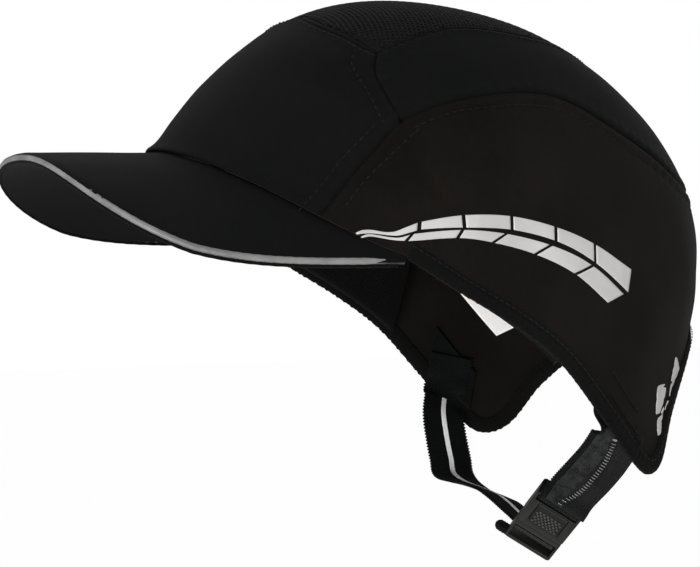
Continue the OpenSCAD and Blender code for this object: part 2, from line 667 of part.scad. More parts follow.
front_panel();
side_panel_left();
side_panel_right();
upper_panel_left();
upper_panel_right();
top_mesh();
rim_binding_left();
rim_binding_right();
arch_binding();
nape_elastic();
brim_top_cover();
brim_under_cover();
brim_board();
brim_piping();
impact_shell();
front_pad();
crown_pad();
side_pad_left();
side_pad_right();
rear_pad();
sweatband();
inner_label();
silver_band_left();
silver_band_right();
silver_band_rear();
anchor_tab_left();
anchor_tab_right();
bar_tacks();
webbing_left();
stitch_line_left();
webbing_right();
stripe_right();
tail_loop();
buckle_socket();
release_button();
button_spring();
buckle_tongue();
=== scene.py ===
"""Bump cap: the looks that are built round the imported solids. Lengths in the tables are millimetres."""
import math

import bmesh
import bpy
import numpy as np
from mathutils import Euler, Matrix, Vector
from mathutils.bvhtree import BVHTree


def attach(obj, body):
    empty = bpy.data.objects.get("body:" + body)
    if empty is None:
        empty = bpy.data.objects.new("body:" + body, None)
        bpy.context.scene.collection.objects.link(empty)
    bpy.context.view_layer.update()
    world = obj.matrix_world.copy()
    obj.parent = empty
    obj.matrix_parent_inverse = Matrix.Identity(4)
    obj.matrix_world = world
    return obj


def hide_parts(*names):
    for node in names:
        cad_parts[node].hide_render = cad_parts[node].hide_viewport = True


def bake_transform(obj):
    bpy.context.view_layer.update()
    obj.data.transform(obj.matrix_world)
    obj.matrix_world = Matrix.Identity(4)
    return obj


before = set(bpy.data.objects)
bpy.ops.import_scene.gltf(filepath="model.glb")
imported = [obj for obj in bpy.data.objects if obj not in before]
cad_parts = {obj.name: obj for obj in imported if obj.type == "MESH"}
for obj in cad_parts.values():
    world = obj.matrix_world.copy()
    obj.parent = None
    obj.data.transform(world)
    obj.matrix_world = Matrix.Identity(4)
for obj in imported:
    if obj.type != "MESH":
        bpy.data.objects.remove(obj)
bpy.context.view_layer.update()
MM = 0.001

# ---------------------------------------------------------------- camera, light and floor

VIEW_BACK = Vector((0.9273, -0.3690, 0.0628)).normalized()
AIM = Vector((1.4, -26.3, -17.4)) * MM
VIEW_FAR, PICTURE_WIDE, DOTS_PER_MM, SENSOR = 1120, 700, 2.696, 36


def add_object(name, data):
    held = bpy.data.objects.new(name, data)
    bpy.context.scene.collection.objects.link(held)
    return held


camera = add_object("camera", bpy.data.cameras.new("camera"))
camera.location = AIM + VIEW_BACK * VIEW_FAR * MM
camera.rotation_euler = VIEW_BACK.to_track_quat("Z", "Y").to_euler()
camera.data.lens = SENSOR * DOTS_PER_MM * VIEW_FAR / PICTURE_WIDE
camera.data.sensor_width = SENSOR
camera.data.clip_start = 0.01
bpy.context.scene.camera = camera
bpy.context.scene.view_settings.view_transform = "Standard"


def lamp(name, place, size, power):
    light = bpy.data.lights.new(name, "AREA")
    light.shape = "DISK"
    light.size = size
    light.energy = power
    held = add_object(name, light)
    held.location = place
    held.rotation_euler = (Vector(place) - AIM).to_track_quat("Z", "Y").to_euler()


lamp("key_lamp", (0.9, -1.3, 1.3), 0.9, 15)
lamp("rim_lamp", (0.5, 1.5, 0.9), 0.7, 9)
lamp("fill_lamp", (1.15, -0.95, -0.45), 0.9, 18)

world = bpy.data.worlds.new("studio")
bpy.context.scene.world = world
world.use_nodes = True


def white_to_the_eye(tree, soft, out):
    """Mixes plain white for camera and transmission rays with the soft studio light for the rest."""
    path = tree.nodes.new("ShaderNodeLightPath")
    seen = tree.nodes.new("ShaderNodeMath")
    seen.operation = "MAXIMUM"
    tree.links.new(path.outputs["Is Camera Ray"], seen.inputs[0])
    tree.links.new(path.outputs["Is Transmission Ray"], seen.inputs[1])
    white = tree.nodes.new("ShaderNodeBackground")
    white.inputs["Strength"].default_value = 1.0
    white.inputs["Color"].default_value = (1, 1, 1, 1)
    mix = tree.nodes.new("ShaderNodeMixShader")
    tree.links.new(seen.outputs[0], mix.inputs[0])
    tree.links.new(soft, mix.inputs[1])
    tree.links.new(white.outputs[0], mix.inputs[2])
    tree.links.new(mix.outputs[0], out)


tree = world.node_tree
soft = tree.nodes["Background"]
soft.inputs["Color"].default_value = (1, 1, 1, 1)
soft.inputs["Strength"].default_value = 0.45
white_to_the_eye(tree, soft.outputs[0], tree.nodes["World Output"].inputs["Surface"])

# ---------------------------------------------------------------- materials


def new_material(name):
    mat = bpy.data.materials.new(name)
    mat.use_nodes = True
    tree = mat.node_tree
    return mat, tree, tree.nodes["Principled BSDF"]


def add(tree, kind, **values):
    """A node with the given input values; keys that are no input are set on the node itself."""
    node = tree.nodes.new(kind)
    for key, value in values.items():
        if key in node.inputs:
            node.inputs[key].default_value = value
        else:
            setattr(node, key, value)
    return node


def coords(tree, kind):
    return add(tree, "ShaderNodeTexCoord").outputs[kind]


def blend_colours(tree, factor, first, second):
    ramp = add(tree, "ShaderNodeValToRGB")
    ramp.color_ramp.elements[0].color = (*first, 1)
    ramp.color_ramp.elements[1].color = (*second, 1)
    ramp.color_ramp.elements[0].position = 0.35
    ramp.color_ramp.elements[1].position = 0.65
    tree.links.new(factor, ramp.inputs[0])
    return ramp.outputs[0]


def bump(tree, bsdf, height, depth, strength=1.0):
    node = add(tree, "ShaderNodeBump", Strength=strength, Distance=depth)
    tree.links.new(height, node.inputs["Height"])
    tree.links.new(node.outputs[0], bsdf.inputs["Normal"])


def threads(tree, place, across_mm, along_mm):
    """Height of two crossing sets of threads, from wave bands of the given pitch."""
    waves = []
    for pitch, direction in ((across_mm, "X"), (along_mm, "Y")):
        wave = add(tree, "ShaderNodeTexWave", bands_direction=direction, Scale=math.pi / (10 * pitch * MM))
        wave.inputs["Distortion"].default_value = 0.6
        wave.inputs["Detail Scale"].default_value = 40
        tree.links.new(place, wave.inputs["Vector"])
        waves.append(wave.outputs["Fac"])
    high = add(tree, "ShaderNodeMath", operation="MAXIMUM")
    tree.links.new(waves[0], high.inputs[0])
    tree.links.new(waves[1], high.inputs[1])
    return high.outputs[0]


def woven(name, colour, other, pitch, roughness=0.6, sheen=0.015, depth=0.12, patch=22.0, along=None):
    """Woven cloth: threads on the piece's own UV map, colour that drifts in soft patches."""
    mat, tree, bsdf = new_material(name)
    bsdf.inputs["Roughness"].default_value = roughness
    bsdf.inputs["Sheen Weight"].default_value = sheen
    bsdf.inputs["Sheen Roughness"].default_value = 0.45
    bsdf.inputs["Specular IOR Level"].default_value = 0.04
    noise = add(tree, "ShaderNodeTexNoise", Scale=patch, Detail=3.0)
    tree.links.new(coords(tree, "Object"), noise.inputs["Vector"])
    height = threads(tree, coords(tree, "UV"), pitch, along or pitch)
    fleck = add(tree, "ShaderNodeTexNoise", Scale=1400.0, Detail=1.0)
    tree.links.new(coords(tree, "Object"), fleck.inputs["Vector"])
    part = add(tree, "ShaderNodeMix", data_type="FLOAT")
    part.inputs[0].default_value = 0.35
    tree.links.new(noise.outputs["Fac"], part.inputs[2])
    tree.links.new(fleck.outputs["Fac"], part.inputs[3])
    tree.links.new(blend_colours(tree, part.outputs[0], colour, other), bsdf.inputs["Base Color"])
    bump(tree, bsdf, height, depth * MM)
    return mat


def moulded(name, colour, other, roughness, grain=0.05, size=900.0):
    """Moulded plastic with a fine grain and handling marks in its gloss."""
    mat, tree, bsdf = new_material(name)
    bsdf.inputs["Specular IOR Level"].default_value = 0.22
    place = coords(tree, "Object")
    noise = add(tree, "ShaderNodeTexNoise", Scale=size, Detail=2.0)
    marks = add(tree, "ShaderNodeTexNoise", Scale=70.0, Detail=4.0)
    for n in (noise, marks):
        tree.links.new(place, n.inputs["Vector"])
    tree.links.new(blend_colours(tree, marks.outputs["Fac"], colour, other), bsdf.inputs["Base Color"])
    rough = add(tree, "ShaderNodeMapRange")
    rough.inputs["To Min"].default_value = roughness - 0.08
    rough.inputs["To Max"].default_value = roughness + 0.1
    tree.links.new(marks.outputs["Fac"], rough.inputs["Value"])
    tree.links.new(rough.outputs[0], bsdf.inputs["Roughness"])
    bump(tree, bsdf, noise.outputs["Fac"], grain * MM)
    return mat


def beaded(name, colour, other):
    """Reflective silver cloth: a dense layer of fine glass beads."""
    mat, tree, bsdf = new_material(name)
    bsdf.inputs["Metallic"].default_value = 0.15
    bsdf.inputs["Roughness"].default_value = 0.5
    place = coords(tree, "Object")
    beads = add(tree, "ShaderNodeTexVoronoi", Scale=2600.0)
    cloud = add(tree, "ShaderNodeTexNoise", Scale=60.0, Detail=3.0)
    for n in (beads, cloud):
        tree.links.new(place, n.inputs["Vector"])
    tree.links.new(blend_colours(tree, cloud.outputs["Fac"], colour, other), bsdf.inputs["Base Color"])
    bump(tree, bsdf, beads.outputs["Distance"], 0.03 * MM, 0.5)
    return mat


CROWN_CLOTH = woven("crown_cloth", (0.0028, 0.003, 0.003), (0.0044, 0.0045, 0.0044), 0.42)
SIDE_CLOTH = woven("side_cloth", (0.0034, 0.0031, 0.0028), (0.0084, 0.0066, 0.0054), 0.42, patch=30.0)
MESH_CLOTH = woven("mesh_cloth", (0.003, 0.0033, 0.0031), (0.0066, 0.0072, 0.0068), 0.3, 0.5, 0.02)
BINDING = woven("binding_tape", (0.003, 0.003, 0.003), (0.0052, 0.0048, 0.0045), 0.55, 0.8, 0.02, 0.12)
THREAD = woven("black_thread", (0.006, 0.006, 0.006), (0.01, 0.01, 0.01), 0.2, 0.6, 0.05, 0.05)
GREY_THREAD = woven("grey_thread", (0.2, 0.2, 0.2), (0.3, 0.3, 0.298), 0.2, 0.7, 0.05, 0.05)
WHITE_THREAD = woven("white_thread", (0.9, 0.9, 0.89), (0.97, 0.97, 0.96), 0.2, 0.6, 0.2, 0.05)
BRIM_CLOTH = woven("brim_cloth", (0.0028, 0.003, 0.003), (0.0044, 0.0045, 0.0044), 0.42)
PIPING = beaded("piping_silver", (0.14, 0.14, 0.14), (0.27, 0.266, 0.262))
SILVER = beaded("band_silver", (0.46, 0.445, 0.44), (0.54, 0.525, 0.52))
SHELL = moulded("shell_plastic", (0.008, 0.008, 0.0085), (0.012, 0.012, 0.0125), 0.45, 0.08, 500.0)
BOARD = moulded("board_plastic", (0.05, 0.05, 0.05), (0.06, 0.06, 0.06), 0.5)
# Near-black copy of the button plastic: painted shade for the button face sunk in the socket's window and for
# the gaps between its pyramids
BUTTON_FACE_PAINTED_SHADE = moulded("button_face_painted_shade", (0.0012, 0.0012, 0.001), (0.002, 0.002, 0.0018), 0.5)
BUCKLE = moulded("buckle_plastic", (0.0034, 0.0032, 0.0026), (0.0052, 0.005, 0.0041), 0.38)
# Light grey copy of the button plastic: painted highlight on the knurl's pyramids
KNURL_PAINTED_HIGHLIGHT = moulded("knurl_painted_highlight", (0.05, 0.05, 0.046), (0.08, 0.08, 0.075), 0.3)
FOAM = woven("pad_cloth", (0.012, 0.012, 0.0125), (0.018, 0.018, 0.0185), 0.9, 0.9, 0.1, 0.3)
SWEATBAND = woven("sweatband_terry", (0.003, 0.0032, 0.0031), (0.0046, 0.0048, 0.0047), 1.1, 0.95, 0.01, 0.4)
ELASTIC = woven("rear_elastic", (0.008, 0.008, 0.008), (0.014, 0.014, 0.014), 1.0, 0.85, 0.08, 0.4, along=0.4)
LABEL = woven("blank_label", (0.92, 0.89, 0.87), (0.97, 0.94, 0.92), 0.25, 0.5, 0.1, 0.05)
WEBBING = woven("webbing", (0.0045, 0.0047, 0.0048), (0.009, 0.0093, 0.0095), 0.75, 0.8, 0.05, 0.3, 60.0, 0.55)
WEBBING_FLECK = woven("flecked_webbing", (0.003, 0.0032, 0.0033), (0.026, 0.027, 0.0275), 0.9, 0.75, 0.05, 0.35,
                      300.0, 0.7)
WEBBING_DARK = woven("dark_webbing", (0.0025, 0.0029, 0.0029), (0.005, 0.0055, 0.0056), 0.75, 0.85, 0.03, 0.3,
                     60.0, 0.55)


def spring_steel():
    mat, tree, bsdf = new_material("spring_steel")
    bsdf.inputs["Metallic"].default_value = 1.0
    bsdf.inputs["Roughness"].default_value = 0.25
    brushed = add(tree, "ShaderNodeTexNoise", Scale=600.0, Detail=2.0)
    tree.links.new(coords(tree, "Object"), brushed.inputs["Vector"])
    colour = blend_colours(tree, brushed.outputs["Fac"], (0.5, 0.5, 0.51), (0.62, 0.62, 0.63))
    tree.links.new(colour, bsdf.inputs["Base Color"])
    return mat


STEEL = spring_steel()

# ---------------------------------------------------------------- shape of the cap, as in the solids

FRONT, REAR, SIDE, HIGH = 109.0, 113.0, 85.0, 83.5
TILT = math.radians(16)
LOBE_DROP = 63.0
CORNER_A = 67.0
LOBE_A = 138.5
BRIM_REACH, BRIM_SIDE, BRIM_BACK, BRIM_ROUND = 153.5, 82.7, 35.0, 3.58


def lift(h):
    return (h + np.sqrt(h * h + 24.0**2)) / 2


def rise(h):
    return np.minimum(lift(h) / lift(HIGH), 0.99999)


def wall(a, h, d=0.0):
    """Points on the crown at angle a from the front and height h, set in by d, before the tilt."""
    a = np.radians(np.asarray(a, float))
    h = np.asarray(h, float)
    t = rise(h)
    flare = (np.minimum(h, 0) / 60) ** 2
    c, s = np.cos(a), np.sin(a)
    front = (FRONT - d) * (1 - t**1.1) ** (1 / 2.72)
    rear = (REAR - d) * (1 - t**2.2) ** (1 / 1.82) + 10 * flare
    girth = (SIDE - d) * (1 - t**2.86) ** (1 / 3.32) + 9 * flare
    reach = np.where(c >= 0, front, rear)
    n = np.where(c >= 0, 2.0, 2.1) + 0.14 * t
    r = ((np.abs(c) / reach) ** n + (np.abs(s) / girth) ** n) ** (-1 / n)
    return np.stack([r * s, -r * c - 3 * t, np.where(h > 0, h * (HIGH - d) / HIGH, h)], -1)


def tip(p):
    """The cap's tilt, as worn."""
    p = np.asarray(p, float)
    c, s = math.cos(TILT), math.sin(TILT)
    return np.stack([p[..., 0], p[..., 1] * c + p[..., 2] * s, p[..., 2] * c - p[..., 1] * s], -1)


def brim_z(x, y):
    out = -y - FRONT
    k = 0.003 - 0.001 * np.maximum(out, 0) / 70
    return 1.7 - 0.278 * out - k * x * x - 14.9 * (x / 80) ** 4


def seam_h(a):
    h = np.full(np.shape(a), -5.0)
    for _ in range(3):
        p = wall(a, h)
        h = brim_z(p[..., 0], p[..., 1])
    return h


def glide(x, table):
    """Smooth curve through a table of (place, value) pairs, the same as in the solids."""
    t = np.asarray(table, float)
    x = np.asarray(x, float)
    i = np.clip(np.searchsorted(t[1:, 0], x, side="right"), 0, len(t) - 2)
    low, high = np.maximum(np.arange(len(t)) - 1, 0), np.minimum(np.arange(len(t)) + 1, len(t) - 1)
    steep = (t[high, 1] - t[low, 1]) / (t[high, 0] - t[low, 0])
    w = t[i + 1, 0] - t[i, 0]
    s = (x - t[i, 0]) / w
    return (t[i, 1] * (1 + 2 * s) * (1 - s) ** 2 + t[i + 1, 1] * s * s * (3 - 2 * s)
            + w * (steep[i] * s * (1 - s) ** 2 - steep[i + 1] * s * s * (1 - s)))


FRONT_SEAM = [(47, -7), (49, 1), (50.5, 7), (52.3, 13.5), (54.5, 20), (56.4, 26.5), (58.3, 32)]
TOP_SEAM = [(58.3, 32), (53.5, 39.6), (48.5, 47), (46.6, 54.5)]
ARC_SEAM = [(58.3, 32), (64, 39), (69.5, 44), (78.5, 50), (87, 54), (96, 56.2), (104.5, 55.7),
            (115.5, 52.6), (128.5, 48.7), (150, 42), (180, 38)]
MESH_EDGE = [(0, 65.3), (19.5, 61.6), (34.5, 58.2), (42.5, 55.4), (46.6, 54.5), (51, 59.9),
             (55.5, 64.3), (63.5, 70.6), (74, 73.8), (87, 75.8), (105, 77.6), (130, 77.4), (180, 76)]
RIM_SHARE = [(80, 0.3), (97.5, 0.41), (111, 0.54), (124.5, 0.78), (134, 0.965), (138.5, 1),
             (143.5, 0.9), (149, 0.62), (158, 0.325), (169, 0.14), (180, 0.095)]
RIM = [(CORNER_A, float(seam_h(np.array(CORNER_A))))] + [(a, -s * LOBE_DROP) for a, s in RIM_SHARE]


def rim_h(a):
    b = np.abs(np.asarray(a, float))
    b = np.minimum(b, 360 - b)
    return np.where(b <= CORNER_A, seam_h(np.minimum(b, CORNER_A)), glide(np.maximum(b, CORNER_A), RIM))


def mesh_h(a):
    return glide(np.abs(a), MESH_EDGE)


def mix(a, b, s):
    return a + (b - a) * s


def unit(v):
    return v / np.linalg.norm(v, axis=-1, keepdims=True)


def length_along(points):
    """Distance travelled from the first of a list of points to each of them."""
    return np.concatenate([[0], np.cumsum(np.linalg.norm(np.diff(points, axis=0), axis=-1))])


def ring_faces(n, m):
    """Faces of a closed tube of n rings of m points, with its two ends."""
    faces = [(i * m + j, i * m + (j + 1) % m, (i + 1) * m + (j + 1) % m, (i + 1) * m + j)
             for i in range(n - 1) for j in range(m)]
    return faces + [tuple(range(m))[::-1], tuple((n - 1) * m + j for j in range(m))]


def grid_uv(u, v):
    return np.stack(np.meshgrid(u, v, indexing="ij"), -1).reshape(-1, 2)


def ease(points, n):
    """n points, evenly spaced, on a smooth curve through the given ones."""
    p = np.asarray(points, float)
    q = np.vstack([2 * p[0] - p[1], p, 2 * p[-1] - p[-2]])
    s = np.linspace(0, 1, 24, endpoint=False)[:, None]
    out = []
    for a, b, c, d in zip(q[:-3], q[1:-2], q[2:-1], q[3:]):
        out.append(0.5 * (2 * b + (c - a) * s + (2 * a - 5 * b + 4 * c - d) * s**2
                          + (3 * b - a - 3 * c + d) * s**3))
    fine = np.vstack(out + [p[-1:]])
    run = length_along(fine)
    at = np.linspace(0, run[-1], n)
    return np.stack([np.interp(at, run, fine[:, k]) for k in range(fine.shape[1])], -1)


# ---------------------------------------------------------------- meshes


def mesh_piece(name, points, faces, material, body, uv=None, smooth=True, replaces=()):
    """A finished piece, from points in millimetres that already have the worn tilt."""
    data = bpy.data.meshes.new(name)
    data.from_pydata((np.asarray(points) * MM).tolist(), [], [list(map(int, f)) for f in faces])
    if uv is not None:
        layer = data.uv_layers.new(name="UVMap")
        index = np.zeros(len(data.loops), np.int32)
        data.loops.foreach_get("vertex_index", index)
        layer.data.foreach_set("uv", (np.asarray(uv) * MM)[index].astype(np.float32).ravel())
    data.materials.append(material)
    data.shade_smooth() if smooth else data.shade_flat()
    data.update()
    return dress(add_object(name, data), body, replaces)


def dress(piece, body, replaces=()):
    if body:
        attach(piece, body)
    if replaces:
        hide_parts(*replaces)
    return piece


def normals_of(grid, ring=False):
    """Unit normals of a grid of points, pointing away from the cap's middle."""
    if ring:
        wide = np.concatenate([grid[-1:], grid, grid[:1]])
        du = wide[2:] - wide[:-2]
    else:
        du = np.gradient(grid, axis=0)
    dv = np.gradient(grid, axis=1)
    n = np.cross(du, dv)
    n /= np.maximum(np.linalg.norm(n, axis=-1, keepdims=True), 1e-9)
    away = grid - np.array([0, 5, -25.0])
    flip = np.sign((n * away).sum(-1, keepdims=True))
    return n * np.where(flip == 0, 1, flip)


def closed_slab(outer, inner, ring=False, keep=None):
    """Points, faces and UVs of the slab between two grids. keep says which cells are there."""
    n, m = outer.shape[:2]
    cells = n if ring else n - 1
    keep = np.ones((cells, m - 1), bool) if keep is None else keep
    i, j = np.nonzero(keep)
    i2 = (i + 1) % n
    size = n * m
    a, b, c, d = i * m + j, i2 * m + j, i2 * m + j + 1, i * m + j + 1
    turn = np.cross(outer[1, 0] - outer[0, 0], outer[0, 1] - outer[0, 0])
    flip = (outer[0, 0] - inner[0, 0]) @ turn < 0
    one, other = np.stack([a, b, c, d], -1), np.stack([a, d, c, b], -1)
    faces = [other, one + size] if flip else [one, other + size]
    before, after = ((i - 1) % n, (i + 1) % n) if ring else (i - 1, i + 1)
    for (k, l), p, q in (((i, j - 1), a, b), ((i, j + 1), c, d), ((before, j), d, a), ((after, j), b, c)):
        inside = (k >= 0) & (k < cells) & (l >= 0) & (l < m - 1)
        there = np.zeros(len(i), bool)
        there[inside] = keep[k[inside], l[inside]]
        p, q = p[~there], q[~there]
        if flip:
            p, q = q, p
        faces.append(np.stack([q, p, p + size, q + size], -1))
    points = np.concatenate([outer.reshape(-1, 3), inner.reshape(-1, 3)])
    uv = grid_uv(length_along(outer[:, m // 2]), length_along(outer[n // 2]))
    return points, np.concatenate(faces), np.concatenate([uv, uv])


def patch(low, high, start, end, n, m):
    """n by m grid of (angle, height) between four edges that meet at their ends."""
    a, b = np.linspace(0, 1, n)[:, None, None], np.linspace(0, 1, m)[None, :, None]
    low, high = ease(low, n)[:, None], ease(high, n)[:, None]
    start, end = ease(start, m)[None], ease(end, m)[None]
    corners = mix(mix(low[0], low[-1], a), mix(high[0], high[-1], a), b)
    return mix(start, end, a) + mix(low, high, b) - corners


def away_from(points, line):
    """Distance of each point from a line of points, and how far along the line it is."""
    shape = points.shape[:-1]
    p = points.reshape(-1, 3)
    best, place = np.full(len(p), 1e9), np.zeros(len(p))
    run = 0.0
    for a, b in zip(line[:-1], line[1:]):
        d = b - a
        length = np.linalg.norm(d)
        t = np.clip(((p - a) @ d) / max(length**2, 1e-12), 0, 1)
        r = np.linalg.norm(p - a - t[:, None] * d, axis=-1)
        near = r < best
        best[near] = r[near]
        place[near] = run + t[near] * length
        run += length
    return best.reshape(shape), place.reshape(shape)


def on_crown(line, n, mirror=False):
    """Points of a line of (angle, height) on the plain crown, on the left or mirrored to the right."""
    line = np.asarray(line, float)
    if mirror:
        line = line * [-1, 1]
    fine = ease(line, n)
    return wall(fine[:, 0], fine[:, 1])


# Stitch lines beside the seams, and the drag folds of the side panels, as (angle, height)
FRONT_STITCH = [(42.6, -7), (45.6, 5), (48, 14.5), (52.5, 27.7)]
BACK_STITCH = [(51.5, -1), (53.2, 6), (55.5, 12.9), (59.5, 23.1), (62.5, 30.5)]
BAND_STITCH = [(54.5, 30), (48.5, 39.5), (41.5, 48.4), (40.4, 53.5)]
ARC_STITCH = [(62.2, 31.5), (67, 37.3), (72.5, 41.8), (80, 46), (88, 49.8), (96, 51.8), (104.5, 51.4),
              (115, 48.3), (128.5, 44.3), (150, 37.8), (179, 34)]
SEAMS = [FRONT_SEAM, TOP_SEAM, ARC_SEAM]
STITCHES = [FRONT_STITCH, BACK_STITCH, BAND_STITCH, ARC_STITCH]
FOLDS = [([(60, 28), (64, 20), (68.5, 13), (74, 8), (80, 6)], -0.9, 3.2),
         ([(62.5, 30), (67.5, 22), (73, 15.5), (80, 12.5)], 0.8, 4.0),
         ([(58, 22), (61, 14), (65, 7), (70, 2)], 0.7, 3.2),
         ([(84, 24), (93, 10), (101, -12), (106, -26)], -0.6, 6.0),
         ([(92, 30), (103, 14), (112, -10), (118, -34)], 0.6, 7.0),
         ([(108, 36), (118, 18), (127, -8), (131, -34)], -0.5, 7.0),
         ([(70, -16), (84, -16), (98, -22), (110, -30)], 0.5, 4.0),
         ([(140, 30), (148, 8), (150, -14)], 0.5, 7.0),
         ([(150, 34), (160, 14), (166, -4)], -0.5, 7.0)]


def dent(dist, deep, wide):
    """A soft ridge, or a groove where deep is negative, that fades with the distance from its line."""
    return deep * np.exp(-(dist / wide) ** 2)


def relief(points, ah):
    """How far the cloth stands out from the plain crown: seams, stitch lines, folds and ripples."""
    out = np.zeros(points.shape[:-1])
    side = np.abs(ah[..., 0])
    for mirror in (False, True):
        other_half = (ah[..., 0] > 8) if mirror else (ah[..., 0] < -8)
        for k, line in enumerate(SEAMS):
            dist, place = away_from(points, on_crown(line, 50, mirror))
            out += np.where(other_half, 0, dent(dist, -0.75, 0.8) + dent(dist - 2.4, 0.35, 1.7)
                            + dent(dist - 2.5, 0.16, 2.5) * np.sin(place * 1.15 + k))
        for k, line in enumerate(STITCHES):
            dist, place = away_from(points, on_crown(line, 50, mirror))
            out += np.where(other_half, 0, dent(dist, -0.38, 0.7)
                            + dent(dist, 0.14, 3.0) * np.sin(place * 0.95 + 2 * k))
        for line, tall, wide in FOLDS:
            crown_line = on_crown(line, 30, mirror)
            dist, place = away_from(points, crown_line)
            ends = np.sin(np.pi * np.clip(place / length_along(crown_line)[-1], 0.02, 0.98)) ** 0.5
            out += np.where(other_half, 0, ends * dent(dist, tall, wide))
    ring_a = np.linspace(-180, 180, 181)
    dist, place = away_from(points, wall(ring_a, mesh_h(ring_a)))
    out += dent(dist, -0.6, 0.9) + dent(dist - 2.6, 0.3, 1.8) + dent(dist, 0.1, 4) * np.sin(place * 1.3)
    # the seam down the middle of the back puckers the cloth
    back = np.minimum(np.abs(180 - side) * 1.9, 99)
    tall = ah[..., 1]
    out += dent(back, -0.5, 0.9) + dent(back, 0.34, 9) * np.sin(tall * 1.02 + 0.9 * np.sin(tall * 0.31))
    # the front cloth stands out where the brim's seam turns it up
    foot = np.clip(tall - seam_h(np.minimum(side, CORNER_A)), 0, 40)
    fade = np.clip((62 - side) / 16, 0, 1)
    out += fade * (2.3 * np.exp(-(foot / 4.5) ** 1.6) + dent(foot - 1.0, 0.35, 1.2))
    # long, soft unevenness all over
    x, y, z = points[..., 0], points[..., 1], points[..., 2]
    out += 0.22 * np.sin(x * 0.083 + 1.7 * np.sin(z * 0.061)) * np.sin(z * 0.11 + y * 0.047 + 0.6)
    out += 0.1 * np.sin(y * 0.19 + z * 0.07) * np.sin(z * 0.23 + x * 0.05)
    return out


def cloth_panel(name, ah, material, thick=1.0):
    """A sewn panel of cloth on a grid of (angle, height), its outer face raised by the relief."""
    points = wall(ah[..., 0], ah[..., 1])
    normal = normals_of(points)
    tall = relief(points, ah)
    outer = points + normal * tall[..., None]
    inner = points - normal * thick + normal * np.minimum(tall, 0)[..., None] * 0.3
    pts, faces, uv = closed_slab(tip(outer), tip(inner))
    return mesh_piece(name, pts, faces, material, "cap", uv, replaces=(name,))


def mirrored(grid):
    return (grid * [-1, 1])[::-1]


front_low = [(a, float(seam_h(np.array(a)))) for a in np.linspace(-47, 47, 41)]
front_high = [(a, float(mesh_h(a))) for a in np.linspace(-46.6, 46.6, 41)]
side_start = [(47, float(seam_h(np.array(47.0))))] + FRONT_SEAM[1:]
left_edge = side_start + TOP_SEAM[1:]
right_edge = [(-a, h) for a, h in left_edge]
front = patch(front_low, front_high, right_edge, left_edge, 130, 130)
cloth_panel("front_panel", front, CROWN_CLOTH)

side_low = [(a, float(rim_h(a))) for a in np.linspace(47, 180, 90)]
side_high = [(a, float(glide(a, ARC_SEAM))) for a in np.linspace(58.3, 180, 60)]
side_end = [(180, mix(float(rim_h(180)), 38, k)) for k in np.linspace(0, 1, 8)]
side = patch(side_low, side_high, side_start, side_end, 230, 96)
cloth_panel("side_panel_left", side, SIDE_CLOTH)
cloth_panel("side_panel_right", mirrored(side), SIDE_CLOTH)

upper_high = [(a, float(mesh_h(a))) for a in np.linspace(46.6, 180, 60)]
upper_end = [(180, mix(38, 76, k)) for k in np.linspace(0, 1, 6)]
upper = patch(side_high, upper_high, TOP_SEAM, upper_end, 190, 56)
cloth_panel("upper_panel_left", upper, CROWN_CLOTH)
cloth_panel("upper_panel_right", mirrored(upper), CROWN_CLOTH)

# ---------------------------------------------------------------- mesh top

PITCH, HOLE, NET_THICK = 1.62, 0.6, 0.35


def crown_tree():
    """The plain crown above the arc seam, for finding its height at a place of the plan."""
    a = np.linspace(-180, 180, 181)[:-1]
    share = np.linspace(0, 1, 60)
    low = np.degrees(np.arcsin(45 / HIGH))
    h = HIGH * np.sin(np.radians(mix(low, 89.6, share)))
    grid = wall(a[:, None] + 0 * h, h + 0 * a[:, None])
    n, m = grid.shape[:2]
    faces = [(i * m + j, ((i + 1) % n) * m + j, ((i + 1) % n) * m + j + 1, i * m + j + 1)
             for i in range(n) for j in range(m - 1)]
    cap = [tuple(i * m + m - 1 for i in range(n))]
    return BVHTree.FromPolygons(grid.reshape(-1, 3).tolist(), faces + cap)


def mesh_top():
    """Net of six-sided holes, dropped onto the crown and cut at the panel's edge."""
    tree = crown_tree()
    ring_a = np.linspace(-180, 180, 361)[:-1]
    ring = wall(ring_a, mesh_h(ring_a))

    def inside(x, y, grow):
        """Whether a place of the plan is inside the mesh panel's edge, set in by grow."""
        cx, cy = 0.0, 4.0
        ang = np.arctan2(x - cx, -(y - cy))
        ra = np.arctan2(ring[:, 0] - cx, -(ring[:, 1] - cy))
        rr = np.hypot(ring[:, 0] - cx, ring[:, 1] - cy)
        order = np.argsort(ra)
        edge = np.interp(ang, ra[order], rr[order], period=2 * np.pi)
        return np.hypot(x - cx, y - cy) < edge - grow

    pts, faces = [], []
    corner = np.radians(np.arange(6) * 60 + 30)
    for row in range(-86, 87):
        for col in range(-64, 65):
            x = (col + (row % 2) / 2) * PITCH
            y = row * PITCH * math.sqrt(3) / 2 + 4
            if not inside(x, y, 1.4):
                continue
            radius = PITCH / math.sqrt(3)
            loops = []
            for r, down in ((radius, 0.0), (radius * HOLE, 0.0), (radius * HOLE, NET_THICK)):
                loop = []
                for c in corner:
                    px, py = x + r * math.cos(c), y + r * math.sin(c)
                    hit, normal, _, _ = tree.ray_cast(Vector((px, py, 200)), Vector((0, 0, -1)))
                    if hit is None:
                        break
                    if normal.z < 0:
                        normal = -normal
                    lift_by = 0.1 * math.cos(px * 1.4) * math.cos(py * 1.7) - down - 0.1
                    loop.append(hit + normal * lift_by)
                loops.append(loop)
            if any(len(loop) < 6 for loop in loops):
                continue
            base = len(pts)
            pts += [tuple(v) for loop in loops for v in loop]
            for k in range(6):
                l = (k + 1) % 6
                faces.append((base + k, base + l, base + 6 + l, base + 6 + k))
                faces.append((base + 6 + k, base + 6 + l, base + 12 + l, base + 12 + k))
    pts = tip(np.array(pts))
    uv = pts[:, :2]
    return mesh_piece("top_mesh", pts, faces, MESH_CLOTH, "cap", uv, replaces=("top_mesh",))


mesh_top()

